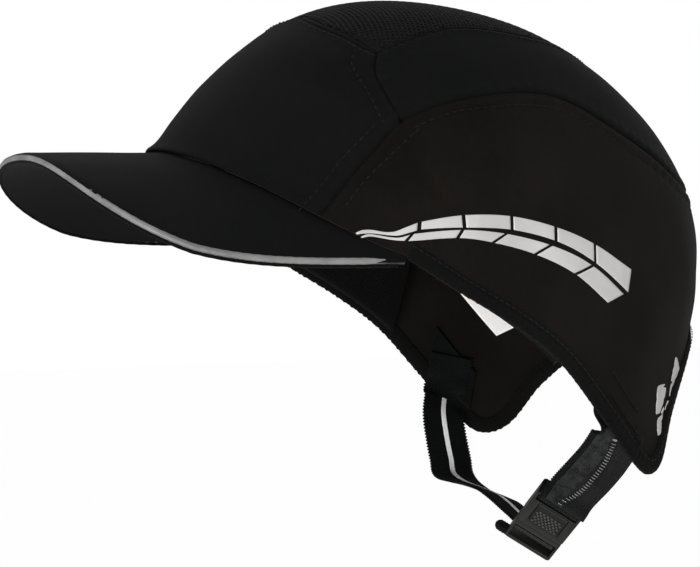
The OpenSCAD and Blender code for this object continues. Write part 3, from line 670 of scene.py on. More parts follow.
# border of the mesh panel, under which its net is caught
edge_a = np.linspace(-180, 180, 301)[:-1]
steps = np.linspace(0, 1, 5)
reach_in = steps * 3.2
border = wall(edge_a[:, None] + 0 * steps, mesh_h(edge_a)[:, None] + 0 * steps)
inward = unit(np.array([0, 2.0, 82.0]) - border)
border_n = normals_of(border + inward * reach_in[None, :, None], True)
flat_in = unit(inward - border_n * (inward * border_n).sum(-1, keepdims=True))
dome_drop = reach_in ** 2 / 180
border = border + flat_in * reach_in[None, :, None] - border_n * dome_drop[None, :, None]
puff_up = np.sin(np.pi * steps)[None, :] * (0.35 + 0.12 * np.sin(edge_a * 1.9)[:, None])
pts, faces, uv = closed_slab(tip(border + border_n * puff_up[..., None]), tip(border - border_n * 0.8), True)
mesh_piece("mesh_border", pts, faces, CROWN_CLOTH, "cap", uv)

# ---------------------------------------------------------------- stitches, by Geometry Nodes


def stitch_tree(material):
    """Lays short rounded stitches along a line: inputs Spacing, Length and Radius, in metres."""
    tree = bpy.data.node_groups.new("stitches_" + material.name, "GeometryNodeTree")
    face = tree.interface
    face.new_socket("Geometry", in_out="INPUT", socket_type="NodeSocketGeometry")
    for name, value in (("Spacing", 0.003), ("Length", 0.0022), ("Radius", 0.0003)):
        socket = face.new_socket(name, in_out="INPUT", socket_type="NodeSocketFloat")
        socket.default_value = value
    face.new_socket("Geometry", in_out="OUTPUT", socket_type="NodeSocketGeometry")
    start = tree.nodes.new("NodeGroupInput")
    end = tree.nodes.new("NodeGroupOutput")
    curve = tree.nodes.new("GeometryNodeMeshToCurve")
    evenly = tree.nodes.new("GeometryNodeResampleCurve")
    evenly.mode = "LENGTH"
    ball = tree.nodes.new("GeometryNodeMeshUVSphere")
    ball.inputs["Segments"].default_value = 6
    ball.inputs["Rings"].default_value = 5
    ball.inputs["Radius"].default_value = 1.0
    size = tree.nodes.new("ShaderNodeCombineXYZ")
    half = tree.nodes.new("ShaderNodeMath")
    half.operation = "MULTIPLY"
    half.inputs[1].default_value = 0.5
    tangent = tree.nodes.new("GeometryNodeInputTangent")
    turn = tree.nodes.new("FunctionNodeAlignRotationToVector")
    turn.axis = "Z"
    place = tree.nodes.new("GeometryNodeInstanceOnPoints")
    real = tree.nodes.new("GeometryNodeRealizeInstances")
    paint = tree.nodes.new("GeometryNodeSetMaterial")
    paint.inputs["Material"].default_value = material
    link = tree.links.new
    link(start.outputs["Geometry"], curve.inputs["Mesh"])
    link(curve.outputs["Curve"], evenly.inputs["Curve"])
    link(start.outputs["Spacing"], evenly.inputs["Length"])
    link(evenly.outputs["Curve"], place.inputs["Points"])
    link(ball.outputs["Mesh"], place.inputs["Instance"])
    link(start.outputs["Length"], half.inputs[0])
    link(start.outputs["Radius"], size.inputs[0])
    link(start.outputs["Radius"], size.inputs[1])
    link(half.outputs[0], size.inputs[2])
    link(size.outputs[0], place.inputs["Scale"])
    link(tangent.outputs[0], turn.inputs["Vector"])
    link(turn.outputs[0], place.inputs["Rotation"])
    link(place.outputs[0], real.inputs[0])
    link(real.outputs[0], paint.inputs["Geometry"])
    link(paint.outputs[0], end.inputs["Geometry"])
    return tree


STITCH_TREES = {}


def stitches(name, lines, material, body, spacing=3.0, length=2.2, radius=0.28, replaces=()):
    """One plain mesh of stitches along the given lines of points, in millimetres."""
    if material.name not in STITCH_TREES:
        STITCH_TREES[material.name] = stitch_tree(material)
    tree = STITCH_TREES[material.name]
    data = bpy.data.meshes.new(name + "_path")
    pts, edges = [], []
    for line in lines:
        base = len(pts)
        pts += [tuple(p * MM) for p in np.asarray(line)]
        edges += [(base + k, base + k + 1) for k in range(len(line) - 1)]
    data.from_pydata(pts, edges, [])
    path = add_object(name + "_path", data)
    mod = path.modifiers.new("stitches", "NODES")
    mod.node_group = tree
    values = {"Spacing": spacing, "Length": length, "Radius": radius}
    for item in tree.interface.items_tree:
        if item.in_out == "INPUT" and item.name in values:
            mod[item.identifier] = values[item.name] * MM
    shown = bpy.context.evaluated_depsgraph_get()
    mesh = bpy.data.meshes.new_from_object(path.evaluated_get(shown))
    mesh.name = name
    if not mesh.materials:
        mesh.materials.append(material)
    mesh.shade_smooth()
    bpy.data.objects.remove(path)
    return dress(add_object(name, mesh), body, replaces)


def wall_normal(a, h, by):
    """Outward normal of the plain crown at places of angle and height, and the way up there."""
    up = wall(a, h + by) - wall(a, h - by)
    out = unit(np.cross(wall(a + by, h) - wall(a - by, h), up))
    return out * np.sign((out * (wall(a, h) - [0, 5, -25])).sum(-1, keepdims=True)), up


def on_cloth(line, raise_by=0.0, mirror=False, n=120):
    """A line of (angle, height) laid on the finished cloth, tilt applied."""
    fine = ease(np.asarray(line, float) * ([-1, 1] if mirror else [1, 1]), n)
    points = wall(fine[:, 0], fine[:, 1])
    normal, _ = wall_normal(fine[:, 0], fine[:, 1], 0.05)
    tall = relief(points, fine) + raise_by
    return tip(points + normal * tall[:, None])


lines = [on_cloth(line, 0.12, hand) for line in STITCHES for hand in (False, True)]
lines += [on_cloth([(a, h - 1.6) for a, h in zip(edge, mesh_h(np.array(edge)))], 0.1, hand, 160)
          for edge in [np.linspace(2, 46, 12), np.linspace(47.5, 178, 20)] for hand in (False, True)]
stitches("topstitching", lines, THREAD, "cap", 2.9, 2.1, 0.26)

# ---------------------------------------------------------------- hem of the rim


HEM_SIDES, HEM_HALF_THICK, HEM_HALF_TALL = 28, 1.75, 3.2


def hem(name, turns):
    """Folded tape over the cut edge, puckered by its stitching."""
    a = np.asarray(turns, float)
    path = wall(a, rim_h(a))
    tangent = unit(np.gradient(path, axis=0))
    out, up = wall_normal(a, rim_h(a), 0.2)
    into = np.cross(tangent, out)
    into *= np.sign((into * up).sum(-1, keepdims=True))
    run = length_along(path)
    wobble = (np.sin(run * 1.9 + 1.3 * np.sin(run * 0.37)) * 0.6
              + np.sin(run * 3.1 + 2 * np.sin(run * 0.23)) * 0.4)
    start = 0.55 + 0.45 * np.clip((np.abs(a) - CORNER_A) / 10, 0, 1)
    rows = []
    for t in np.arange(HEM_SIDES) / HEM_SIDES * 2 * math.pi:
        x = math.copysign(abs(math.cos(t)) ** 0.7, math.cos(t)) * HEM_HALF_THICK
        y = math.copysign(abs(math.sin(t)) ** 0.8, math.sin(t)) * HEM_HALF_TALL
        pinch = math.exp(-((y - 1.9) / 0.8) ** 2)
        swell = (1 - pinch) * 0.28
        x_all = x * (1 - 0.14 * pinch) * start + np.sign(x) * swell * wobble * 0.5 * start
        y_all = y + 2.2 + (0.2 * wobble if y < -1.5 else 0.12 * wobble)
        rows.append(path + out * (x_all - 0.5)[:, None] + into * y_all[:, None])
    grid = tip(np.stack(rows, 1))
    uv = grid_uv(run, np.arange(HEM_SIDES) * 0.55)
    piece = mesh_piece(name, grid.reshape(-1, 3), ring_faces(len(a), HEM_SIDES), BINDING, None, uv)
    dress(finish_normals(piece), "cap", (name,))
    return tip(path + out * 1.42 + into * 3.8)


def finish_normals(piece):
    """Turns all faces outwards."""
    work = bmesh.new()
    work.from_mesh(piece.data)
    bmesh.ops.recalc_face_normals(work, faces=work.faces)
    work.to_mesh(piece.data)
    work.free()
    piece.data.shade_smooth()
    return piece


left_turns = np.linspace(CORNER_A + 0.4, LOBE_A - 0.3, 390)
hem_lines = [hem("rim_binding_left", left_turns), hem("rim_binding_right", -left_turns[::-1]),
             hem("arch_binding", np.linspace(LOBE_A - 0.3, 360.3 - LOBE_A, 520))]
stitches("hem_stitching", hem_lines, THREAD, "cap", 2.6, 1.9, 0.24)

# ---------------------------------------------------------------- brim


def brim_edge(share, shrink=0.0):
    """Plan of the brim's edge, from one corner (share 0) to the other (share 1)."""
    a = np.radians(mix(-90, 90, share))
    r = ((np.abs(np.cos(a)) / (BRIM_REACH - BRIM_BACK - shrink)) ** BRIM_ROUND
         + (np.abs(np.sin(a)) / (BRIM_SIDE - shrink)) ** BRIM_ROUND) ** (-1 / BRIM_ROUND)
    return np.stack([r * np.sin(a), -BRIM_BACK - r * np.cos(a)], -1)


def brim_root(share):
    a = mix(-CORNER_A, CORNER_A, share)
    return wall(a, seam_h(a), -0.2)[..., :2]


def brim_sheet(name, top, bottom, wrap, pull_in):
    """One cover of the brim, its edge rolled over; wrap is how far its edge is pulled up or down."""
    share = np.linspace(0, 1, 150)
    out = np.linspace(0, 1, 46)
    root, edge = brim_root(share)[:, None], brim_edge(share, pull_in)[:, None]
    xy = mix(root, edge, out[None, :, None])
    z = brim_z(xy[..., 0], xy[..., 1])
    near = np.linalg.norm(xy - edge, axis=-1)
    roll = wrap * np.exp(-(near / 1.0) ** 2)
    quilt = 0.08 * np.sin(xy[..., 0] * 0.21 + 1.3 * np.sin(xy[..., 1] * 0.13)) * np.minimum(near / 6, 1)
    upper = np.concatenate([xy, (z - top + roll + quilt)[..., None]], -1)
    lower = np.concatenate([xy, (z - bottom + roll + quilt)[..., None]], -1)
    pts, faces, uv = closed_slab(tip(upper), tip(lower))
    return mesh_piece(name, pts, faces, BRIM_CLOTH, "cap", uv, replaces=(name,))


brim_sheet("brim_top_cover", 0.0, 0.8, -0.7, 1.0)
brim_sheet("brim_under_cover", 3.3, 4.1, 0.3, 1.9)


def tube(name, path, radius, sides, material, body, replaces=()):
    """Round tube along a path, closed at its ends. radius may differ along it."""
    path = np.asarray(path, float)
    radius = np.broadcast_to(radius, len(path))
    tangent = unit(np.gradient(path, axis=0))
    up = np.zeros_like(path)
    ref = np.array([0, 0, 1.0])
    for k, t in enumerate(tangent):
        ref = unit(ref - t * (ref @ t))
        up[k] = ref
    side = np.cross(tangent, up)
    turn = np.linspace(0, 2 * np.pi, sides, endpoint=False)
    ring = side[:, None] * np.cos(turn)[None, :, None] + up[:, None] * np.sin(turn)[None, :, None]
    grid = path[:, None] + ring * radius[:, None, None]
    uv = grid_uv(length_along(path), np.arange(sides) * 0.6)
    piece = mesh_piece(name, grid.reshape(-1, 3), ring_faces(len(path), sides), material, None, uv)
    return dress(finish_normals(piece), body, replaces)


def edge_line(share, shrink, drop):
    """Line along the brim's edge, drawn in by shrink and lowered by drop."""
    plan = brim_edge(share, shrink)
    return tip(np.concatenate([plan, (brim_z(plan[:, 0], plan[:, 1]) - drop)[:, None]], -1))


share = np.linspace(0.008, 0.992, 330)
taper = np.clip((np.minimum(share, 1 - share) - 0.002) / 0.05, 0, 1) ** 0.7
run = length_along(brim_edge(share, 1.9))
cord = 1.25 * (0.1 + 0.9 * taper) * (1 + 0.03 * np.sin(run * 1.7))
tube("brim_piping", edge_line(share, 1.9, 2.0), cord, 14, PIPING, "cap", ("brim_piping",))
fold = 0.6 + 0.04 * np.sin(run * 1.3)
tube("brim_edge_fold", edge_line(share, 1.7, 3.55), fold, 12, BRIM_CLOTH, "cap")

# ---------------------------------------------------------------- silver bands

# Where the cuts across each row of silver meet the row's low and high edge, in degrees
UPPER_CUT = [(55.2, 54.9), (68.7, 68.4), (78.9, 78.0), (90.6, 89.7), (102.4, 101.5), (114.5, 113.3),
             (126.9, 126.2)]
LOWER_CUT = [(56.4, 56.2), (66.5, 67.4), (77.9, 78.6), (86.6, 89.3), (98.2, 101.4), (109.6, 113.9),
             (121.2, 125.6)]
UPPER_HIGH = [(54.8, -10.2), (56.1, -8.5), (58.1, -7.5), (61, -7), (63.1, -5.9), (65.6, -3.1), (68.4, -0.2),
              (78, 6.1), (89.7, 10.3), (101.5, 11), (113.3, 9.3), (126.1, 4.7)]
UPPER_LOW = [(54.9, -10.7), (56.5, -9.6), (58.5, -8.6), (61.4, -7.9), (64, -7), (66.4, -4.9), (68.8, -2.8),
             (78.9, 2), (90.6, 5.8), (102.4, 6.3), (114.5, 3.1), (126.8, -3.5)]
LOWER_HIGH = [(56.2, -10.8), (57.5, -9.3), (59.7, -8.7), (62.3, -8.3), (64.5, -7.5), (67.5, -4.9),
              (78.3, 0.9), (89.1, 3.8), (101.2, 4.4), (113.9, 1.7), (125.5, -4.7)]
LOWER_LOW = [(56.3, -11.3), (58.1, -9.9), (60.3, -9.4), (62.9, -9), (64.7, -8.5), (66.9, -7.7),
             (78, -2.1), (86.7, -0.4), (98.3, -0.2), (109.6, -3), (121.2, -9.5)]
CUT_WIDE = 0.87


def brick(low, high, start, end, n=24, m=9):
    """One silver piece between two edge curves; start and end are its (low, high) angles."""
    s, t = np.linspace(0, 1, n)[:, None], np.linspace(0, 1, m)[None, :]
    a = mix(mix(start[0], start[1], t), mix(end[0], end[1], t), s)
    h_low, h_high = glide(mix(start[0], end[0], s), low), glide(mix(start[1], end[1], s), high)
    return np.stack([a, mix(h_low, h_high, t)], -1)


def quad(a, b, c, d, n=14, m=12):
    """A four-cornered patch of (angle, height) with softly rounded corners."""
    s, t = np.linspace(-1, 1, n)[:, None], np.linspace(-1, 1, m)[None, :]
    s, t = s * (1 - 0.1 * t**4), t * (1 - 0.1 * s**4)
    s, t = (s + 1)[..., None] / 2, (t + 1)[..., None] / 2
    a, b, c, d = (np.array(v, float) for v in (a, b, c, d))
    return mix(mix(a, b, s), mix(d, c, s), t)


def foil_set(name, bricks, hand=1, crease=0.0):
    """One piece of all the thin silver bricks of a band, lying on the cloth."""
    all_pts, all_faces, all_uv, base = [], [], [], 0
    for ah in bricks:
        ah = ah * [hand, 1]
        p = wall(ah[..., 0], ah[..., 1])
        n = normals_of(p)
        tall = relief(p, ah) + 0.1
        if crease:
            wrinkle = np.abs(np.sin(p[..., 2] * 1.1 + p[..., 0] * 0.6)) * np.sin(p[..., 2] * 0.5 + 1)
            tall = tall + crease * wrinkle
        rim = np.ones(p.shape[:2])
        rim[[0, -1], :] = 0.4
        rim[:, [0, -1]] = 0.4
        outer = tip(p + n * (tall + 0.1 * rim)[..., None])
        inner = tip(p + n * (tall - 0.2)[..., None])
        pts, faces, uv = closed_slab(outer, inner)
        all_pts.append(pts), all_faces.append(faces + base), all_uv.append(uv)
        base += len(pts)
    return mesh_piece(name, np.concatenate(all_pts), np.concatenate(all_faces), SILVER, "cap",
                      np.concatenate(all_uv), replaces=(name,))


side_bricks = []
for cuts, low, high in ((UPPER_CUT, UPPER_LOW, UPPER_HIGH), (LOWER_CUT, LOWER_LOW, LOWER_HIGH)):
    for start, end in zip(cuts[:-1], cuts[1:]):
        side_bricks.append(brick(low, high, start, (end[0] - CUT_WIDE, end[1] - CUT_WIDE)))
foil_set("silver_band_left", side_bricks)
foil_set("silver_band_right", side_bricks, -1)
rear_bricks = [quad((147.4, -35), (148.8, -34.5), (152.4, -23), (149, -18.5)),
               quad((141.3, -43), (142.7, -43.5), (146.2, -30), (141.4, -32)),
               quad((141.8, -50), (143.8, -48.5), (145.3, -38), (141.9, -44.3)),
               quad((144.2, -48), (145.4, -44), (148, -36.5), (146.2, -36))]
rear_bricks += [g * [-1, 1] + [360, 0] for g in rear_bricks]
REAR_FROM, REAR_WIDE = 167.8, 8.4
for k in range(3):
    a0, a1 = REAR_FROM + REAR_WIDE * k, REAR_FROM + REAR_WIDE * (k + 1) - 0.8
    for low, high in ((7.5, 15.3), (16.0, 23.8)):
        rear_bricks.append(quad((a0, rim_h(a0) + low), (a1, rim_h(a1) + low),
                                (a1, rim_h(a1) + high), (a0, rim_h(a0) + high)))
foil_set("silver_band_rear", rear_bricks, crease=0.3)

# ---------------------------------------------------------------- inside of the cap

LAYER_GAP, SHELL_T, FOAM_T, SWEAT_T = 0.6, 2.2, 5.0, 1.6
SHELL_IN = 1.0 + LAYER_GAP
FOAM_IN = SHELL_IN + SHELL_T + LAYER_GAP
SWEAT_IN = FOAM_IN + FOAM_T + LAYER_GAP
SHELL_EDGE = [(0, 9), (50, 5), (90, 12), (120, 9), (150, 6), (180, 10)]


def impact_shell():
    """Moulded shell with two staggered rows of long vents and low ribs on its inside."""
    n, m = 240, 66
    a = np.linspace(-180, 180, n + 1)[:-1]
    low = glide(np.abs(a), SHELL_EDGE)
    share = np.linspace(0, 1, m)
    h = HIGH * np.sin(np.radians(mix(np.degrees(np.arcsin(low / HIGH))[:, None], 84, share[None])))
    grid_a = a[:, None] + 0 * h
    keep = np.ones((n, m - 1), bool)
    cell_a = grid_a[:, 0] + 0.75
    for k in range(12):
        for shift, lo, hi in ((11.25, 0.2, 0.4), (26.25, 0.6, 0.8)):
            middle = -180 + shift + 30 * k
            near = np.abs((cell_a - middle + 180) % 360 - 180)
            for j in range(m - 1):
                s = (j + 0.5) / (m - 1)
                if lo < s < hi:
                    end = min(s - lo, hi - s) / 0.05
                    keep[near < 3.75 * min(1, math.sqrt(max(end, 0.15))), j] = False
    rib = 0.5 * np.exp(-(((grid_a + 180) % 30 - 26) / 1.2) ** 2) * (share > 0.05)
    points = wall(grid_a, h)
    normal = normals_of(points, True)
    outer = points - normal * SHELL_IN
    inner = points - normal * (SHELL_IN + SHELL_T + rib)[..., None]
    pts, faces, uv = closed_slab(tip(outer), tip(inner), True, keep)
    return mesh_piece("impact_shell", pts, faces, SHELL, "cap", uv, replaces=("impact_shell",))


impact_shell()


def pad_faces(points, normal, fat):
    """Outer and inner face of a pad; fat says how plump it is at each place, from 0 to 1."""
    outer = points - normal * (FOAM_IN + 0.5 * (1 - fat))[..., None]
    inner = points - normal * (FOAM_IN + 0.8 + (FOAM_T - 0.9) * fat)[..., None]
    return tip(outer), tip(inner)


def pad(name, ah, channels):
    """Crowned pad, thick in the middle and drawn in at its edge and at its sewn channels."""
    points = wall(ah[..., 0], ah[..., 1])
    n, m = points.shape[:2]
    i = (1 - np.abs(np.linspace(-1, 1, n)) ** 8)[:, None]
    j = (1 - np.abs(np.linspace(-1, 1, m)) ** 6)[None, :]
    fat = np.sqrt(np.maximum(i * j, 0.0))
    run = np.linspace(0, 1, n)[:, None] + 0 * fat
    for c in channels:
        fat = fat * (1 - 0.55 * np.exp(-((run - c) * n / 5.0) ** 2))
    pts, faces, uv = closed_slab(*pad_faces(points, normals_of(points), fat))
    mesh_piece(name, pts, faces, FOAM, "cap", uv, replaces=(name,))


def pad_grid(a0, a1, h0, h1, n, m):
    s, t = np.linspace(0, 1, n)[:, None], np.linspace(0, 1, m)[None, :]
    return np.stack([mix(a0, a1, s) + 0 * t, mix(h0, h1, t) + 0 * s], -1)


pad("front_pad", pad_grid(-44, 44, 12, 44, 130, 44), (0.25, 0.5, 0.75))
side_pad = pad_grid(56, 122, 16, 46, 110, 40)
pad("side_pad_left", side_pad, (0.33, 0.67))
pad("side_pad_right", mirrored(side_pad), (0.33, 0.67))
pad("rear_pad", pad_grid(136, 224, 12, 44, 130, 44), (0.25, 0.5, 0.75))


def crown_pad():
    """Round pad under the mesh, drawn in by two crossing rows of stitching."""
    n, m = 120, 36
    a = np.linspace(-180, 180, n + 1)[:-1]
    share = np.linspace(0, 1, m)
    h = HIGH * np.sin(np.radians(mix(np.degrees(np.arcsin(0.8)), 88.9, share)))
    points = wall(a[:, None] + 0 * h, h + 0 * a[:, None])
    normal = normals_of(points, True)
    normal[:, -3:] = [0, 0, 1]
    fat = np.sqrt(1 - (1 - np.minimum(share / 0.16, 1)) ** 2)[None, :] + 0 * h
    fat = fat * np.ones((n, 1))
    for k in (0, 1):
        off = np.abs(points[..., k] - (2 if k else 0))
        fat = fat * (1 - 0.5 * np.exp(-(off / 2.4) ** 2))
    pts, faces, uv = closed_slab(*pad_faces(points, normal, fat), True)
    size = n * m
    caps = [tuple(i * m + m - 1 for i in range(n)), tuple(size + i * m + m - 1 for i in range(n))[::-1]]
    keep = [list(f) for f in faces if not all(int(v) % m == m - 1 for v in f)]
    piece = finish_normals(mesh_piece("crown_pad", pts, keep + [list(c) for c in caps], FOAM, None, uv))
    dress(piece, "cap", ("crown_pad",))


crown_pad()


def sweatband():
    """Terry band folded round the lower edge inside the front and the sides."""
    n = 300
    a = np.linspace(-112, 112, n)
    low = rim_h(a)
    loop = [(2.6, 1.2), (SWEAT_IN - 0.4, 0.9), (SWEAT_IN + 1.0, 0.5), (SWEAT_IN + SWEAT_T + 0.5, 2.5),
            (SWEAT_IN + SWEAT_T + 0.9, 12), (SWEAT_IN + SWEAT_T + 0.7, 22), (SWEAT_IN + SWEAT_T, 29.5),
            (SWEAT_IN + 0.8, 30.8), (SWEAT_IN, 29.5), (SWEAT_IN, 20), (SWEAT_IN, 10), (SWEAT_IN - 0.2, 3.2),
            (SWEAT_IN - 1.2, 2.6), (2.6, 2.6)]
    loop = ease(loop + loop[:1], 57)[:-1]
    base = np.stack([wall(a, low + z) for d, z in loop], 1)
    deep = np.stack([d + 0.18 * np.sin(a * 1.7 + z * 0.2) * (d > SWEAT_IN + 0.3) for d, z in loop], 1)
    middle = wall(a, low + 12)
    out = unit(np.cross(np.gradient(middle, axis=0), np.array([0, 0, 1.0])))
    out *= np.sign((out * middle).sum(-1, keepdims=True))
    grid = tip(base - out[:, None] * deep[..., None])
    sides = len(loop)
    uv = grid_uv(length_along(middle), np.arange(sides) * 1.3)
    piece = mesh_piece("sweatband", grid.reshape(-1, 3), ring_faces(n, sides), SWEATBAND, None, uv)
    dress(finish_normals(piece), "cap", ("sweatband",))


sweatband()


def tape(name, ah, d0, d1, material, wave):
    """Flat piece sewn to the inside of the cloth, set in from d0 to d1, rippled by wave."""
    points = wall(ah[..., 0], ah[..., 1])
    normal = normals_of(points)
    ripple = wave * np.sin(points[..., 0] * 0.9 + points[..., 1] * 0.8)
    outer, inner = (tip(points - normal * (d + ripple)[..., None]) for d in (d0, d1))
    pts, faces, uv = closed_slab(outer, inner)
    return mesh_piece(name, pts, faces, material, "cap", uv, replaces=(name,))


s, t = np.linspace(0, 1, 60)[:, None], np.linspace(0, 1, 24)[None, :]
a = mix(152, 208, s) + 0 * t
tape("nape_elastic", np.stack([a, rim_h(a) + 1.5 + 12 * t], -1), 2.4, 3.3, ELASTIC, 0.12)
label = np.stack([-138 + 16.8 * s - 9.2 * t, -25 + 20.8 * s + 13 * t], -1)
tape("inner_label", label, 1.3, 1.6, LABEL, 0.05)
STRAP_A = 129.5
a = mix(STRAP_A - 5.5, STRAP_A + 5.5, s) + 0 * t
tab = np.stack([a, rim_h(a) + 6 + 15 * t], -1)
for word, grid in (("left", tab), ("right", mirrored(tab))):
    tape("anchor_tab_" + word, grid, 1.3, 2.6, WEBBING_DARK, 0.05)
tacks = []
zig_a = np.linspace(STRAP_A - 4.5, STRAP_A + 4.5, 27)
zig = 9.2 + 1.3 * (np.arange(27) % 2)
for hand in (1, -1):
    for up in (0, 8):
        line = np.stack([zig_a, rim_h(zig_a) + zig + up], -1) * [hand, 1]
        p = wall(line[:, 0], line[:, 1])
        n = normals_of(np.stack([p, wall(line[:, 0], line[:, 1] + 1)], 1))[:, 0]
        tacks.append(tip(p + n * (relief(p, line) + 0.2)[:, None]))
stitches("bar_tacks", tacks, THREAD, "cap", 0.8, 1.0, 0.25, ("bar_tacks",))

# ---------------------------------------------------------------- chin strap

STRAP_IN = 2.3
WEB_W, WEB_T = 16.5, 1.3
HALF_W = WEB_W / 2
MIRROR = np.array([-1, 1, 1])
LEFT_END = tip(wall(STRAP_A, float(rim_h(STRAP_A)) + 2, STRAP_IN + WEB_T + 4.8))
RIGHT_END = LEFT_END * MIRROR
RIM_SIDE = unit(tip(wall(STRAP_A + 3, rim_h(STRAP_A + 3))) - tip(wall(STRAP_A - 3, rim_h(STRAP_A - 3))))
BUCKLE_TURN = Euler([math.radians(v) for v in (139, 31.5, 65)], "XYZ").to_matrix()
BUCKLE_AT = LEFT_END + [-34, 1.6, -28.5]


def turned(v):
    return np.array(BUCKLE_TURN @ Vector(v))


def in_buckle(x, y, z):
    return BUCKLE_AT + turned((x, y, z))


def below_tab(up, d):
    """A place on the strap's line where it is sewn inside the lobe: up from the rim, d in from the cloth."""
    return tip(wall(STRAP_A, float(rim_h(STRAP_A)) + up, d))


ACROSS, FACE_OUT = turned((1, 0, 0)), turned((0, 0, 1))
SOCKET_L, SOCKET_T, FRAME_L, FRAME_T = 22.5, 7.0, 14.5, 6.0


def strap_grid(mid, side, left, right, raise_by, thick, wave=0.0, across_n=26):
    """Closed grid round a flat webbing: left and right are how far it reaches from its middle line."""
    mid = np.asarray(mid, float)
    ahead = unit(np.gradient(mid, axis=0))
    s = unit(side - ahead * (ahead * side).sum(-1, keepdims=True))
    up = np.cross(ahead, s)
    run = length_along(mid)
    w = np.linspace(0, 1, across_n)
    half = thick / 2 * np.minimum(1, np.sqrt(np.minimum(w, 1 - w) / 0.04 + 0.15))
    x = mix(left, right, w)
    rib = 0.07 * np.cos(w * 2 * np.pi * 9)
    bend = wave * np.sin(run * 0.25)[:, None] * np.cos(w * np.pi)[None]
    flat = mid[:, None] + s[:, None] * x[None, :, None]
    top, low = (flat + up[:, None] * (raise_by + h + bend)[..., None] for h in (half + rib, -half - rib))
    return top, low, s, up


def resample_like(points, sides, n):
    """Even run of n stations on the strap's centre line, with the given sides spread along it."""
    fine = ease(points, n)
    t = np.linspace(0, 1, n)
    at, side = np.array([v[0] for v in sides]), np.array([v[1] for v in sides])
    return fine, np.stack([np.interp(t, at, side[:, k]) for k in range(3)], -1)


TOP, LOW = below_tab(2.5, 4.6) + [-2.9, 2.7, -0.5], in_buckle(0, 8, 1.0)
LEFT_POINTS = [below_tab(18, 3.3), below_tab(10, 5.2), TOP, mix(TOP, LOW, 0.33) + [1.2, 1.1, 0],
               mix(TOP, LOW, 0.67) + [0.6, 0.7, -0.3], LOW, in_buckle(0, 2.6, 3.9), in_buckle(0, -0.8, 4.4),
               in_buckle(0, -2.9, 3.4), in_buckle(0, -3.5, 0.6), in_buckle(0, -3.4, -2.4)]
left_mid, left_s = resample_like(LEFT_POINTS, [(0, RIM_SIDE), (0.26, RIM_SIDE), (0.62, ACROSS),
                                               (1, ACROSS)], 150)


def webbing(name, mid, side, left, right, raise_by, thick, material, slot="webbing", wave=0.0):
    """A flat run of webbing; also gives its two edges, its sideways way and its upward way."""
    top, low, s, up = strap_grid(mid, side, left, right, raise_by, thick, wave)
    pts, faces, uv = closed_slab(top, low)
    piece = mesh_piece(name, pts, faces, material, None, uv)
    finish_normals(piece)
    edges = [top[:, 0] * 0.5 + low[:, 0] * 0.5, top[:, -1] * 0.5 + low[:, -1] * 0.5]
    return piece, edges, s, up


def cross_joint(piece):
    """Bakes the piece's placement into its points."""
    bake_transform(piece)


def picot_edges(name, edges, joint):
    """The row of small loops along each edge of the webbing."""
    joint(stitches(name, edges, WEBBING_DARK, None, 1.25, 0.95, 0.62))


# Left run: a dark layer with toothed edges behind, a flecked layer and a smooth one sewn on it
LEFT_SIGN = -float(np.sign(left_s[60][1]))
ends = sorted((-HALF_W * LEFT_SIGN, (HALF_W - 0.4) * LEFT_SIGN))
base, edges, s, up = webbing("webbing_left", left_mid, left_s, *ends, 0.0, WEB_T, WEBBING_DARK, wave=0.2)
TO_VIEW = float(np.sign((up[60] * VIEW_BACK).sum()))
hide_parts("webbing_left")
cross_joint(base)


def layer(name, a, b, raise_by, material, first, last=128):
    """A thinner layer of webbing on the left run, from a to b across it."""
    low, high = sorted((LEFT_SIGN * a, LEFT_SIGN * b))
    mid, side = left_mid[first:last], left_s[first:last]
    cross_joint(webbing(name, mid, side, low, high, TO_VIEW * raise_by, 0.8, material, wave=0.2)[0])


layer("webbing_left_flecked", -3.0, 6.0, 1.05, WEBBING_FLECK, 26)
layer("webbing_left_smooth", -HALF_W - 2.0, -0.6, 1.5, WEBBING, 35)
picot_edges("webbing_left_picots", [edge[37:] for edge in edges], cross_joint)

# Ladder stitch down the left run: rungs, a dark rail on each side and a tack at the top
LADDER = slice(39, 125)
sway = glide(np.linspace(0, 1, 86), [(0, -0.7), (0.3, -2.2), (0.65, -2.8), (0.86, -2.0), (1, 0.6)])[:, None]
s, up = s[LADDER], up[LADDER] * TO_VIEW
place = left_mid[LADDER] + s * LEFT_SIGN * sway + up * 2.05
rungs = []
for k in np.linspace(0, len(place) - 1.001, 28):
    i = int(k)
    spot = mix(place[i], place[i + 1], k - i)
    rungs.append(np.stack([spot - s[i] * 0.75, spot + up[i] * 0.2, spot + s[i] * 0.75]))
rails = [place - s * 0.95, place + s * 0.95]
tack = np.array([place[0] + s[0] * 0.8 * math.sin(q * 2.4) + (place[0] - place[1]) * 0.12 * q for q in range(9)])
cross_joint(stitches("stitch_line_left", rungs, GREY_THREAD, None, 0.5, 0.7, 0.17,
                     ("stitch_line_left",)))
cross_joint(stitches("stitch_line_left_rails", rails, THREAD, None, 0.8, 0.85, 0.26))
cross_joint(stitches("stitch_tack_left", [tack], GREY_THREAD, None, 0.5, 0.7, 0.3))

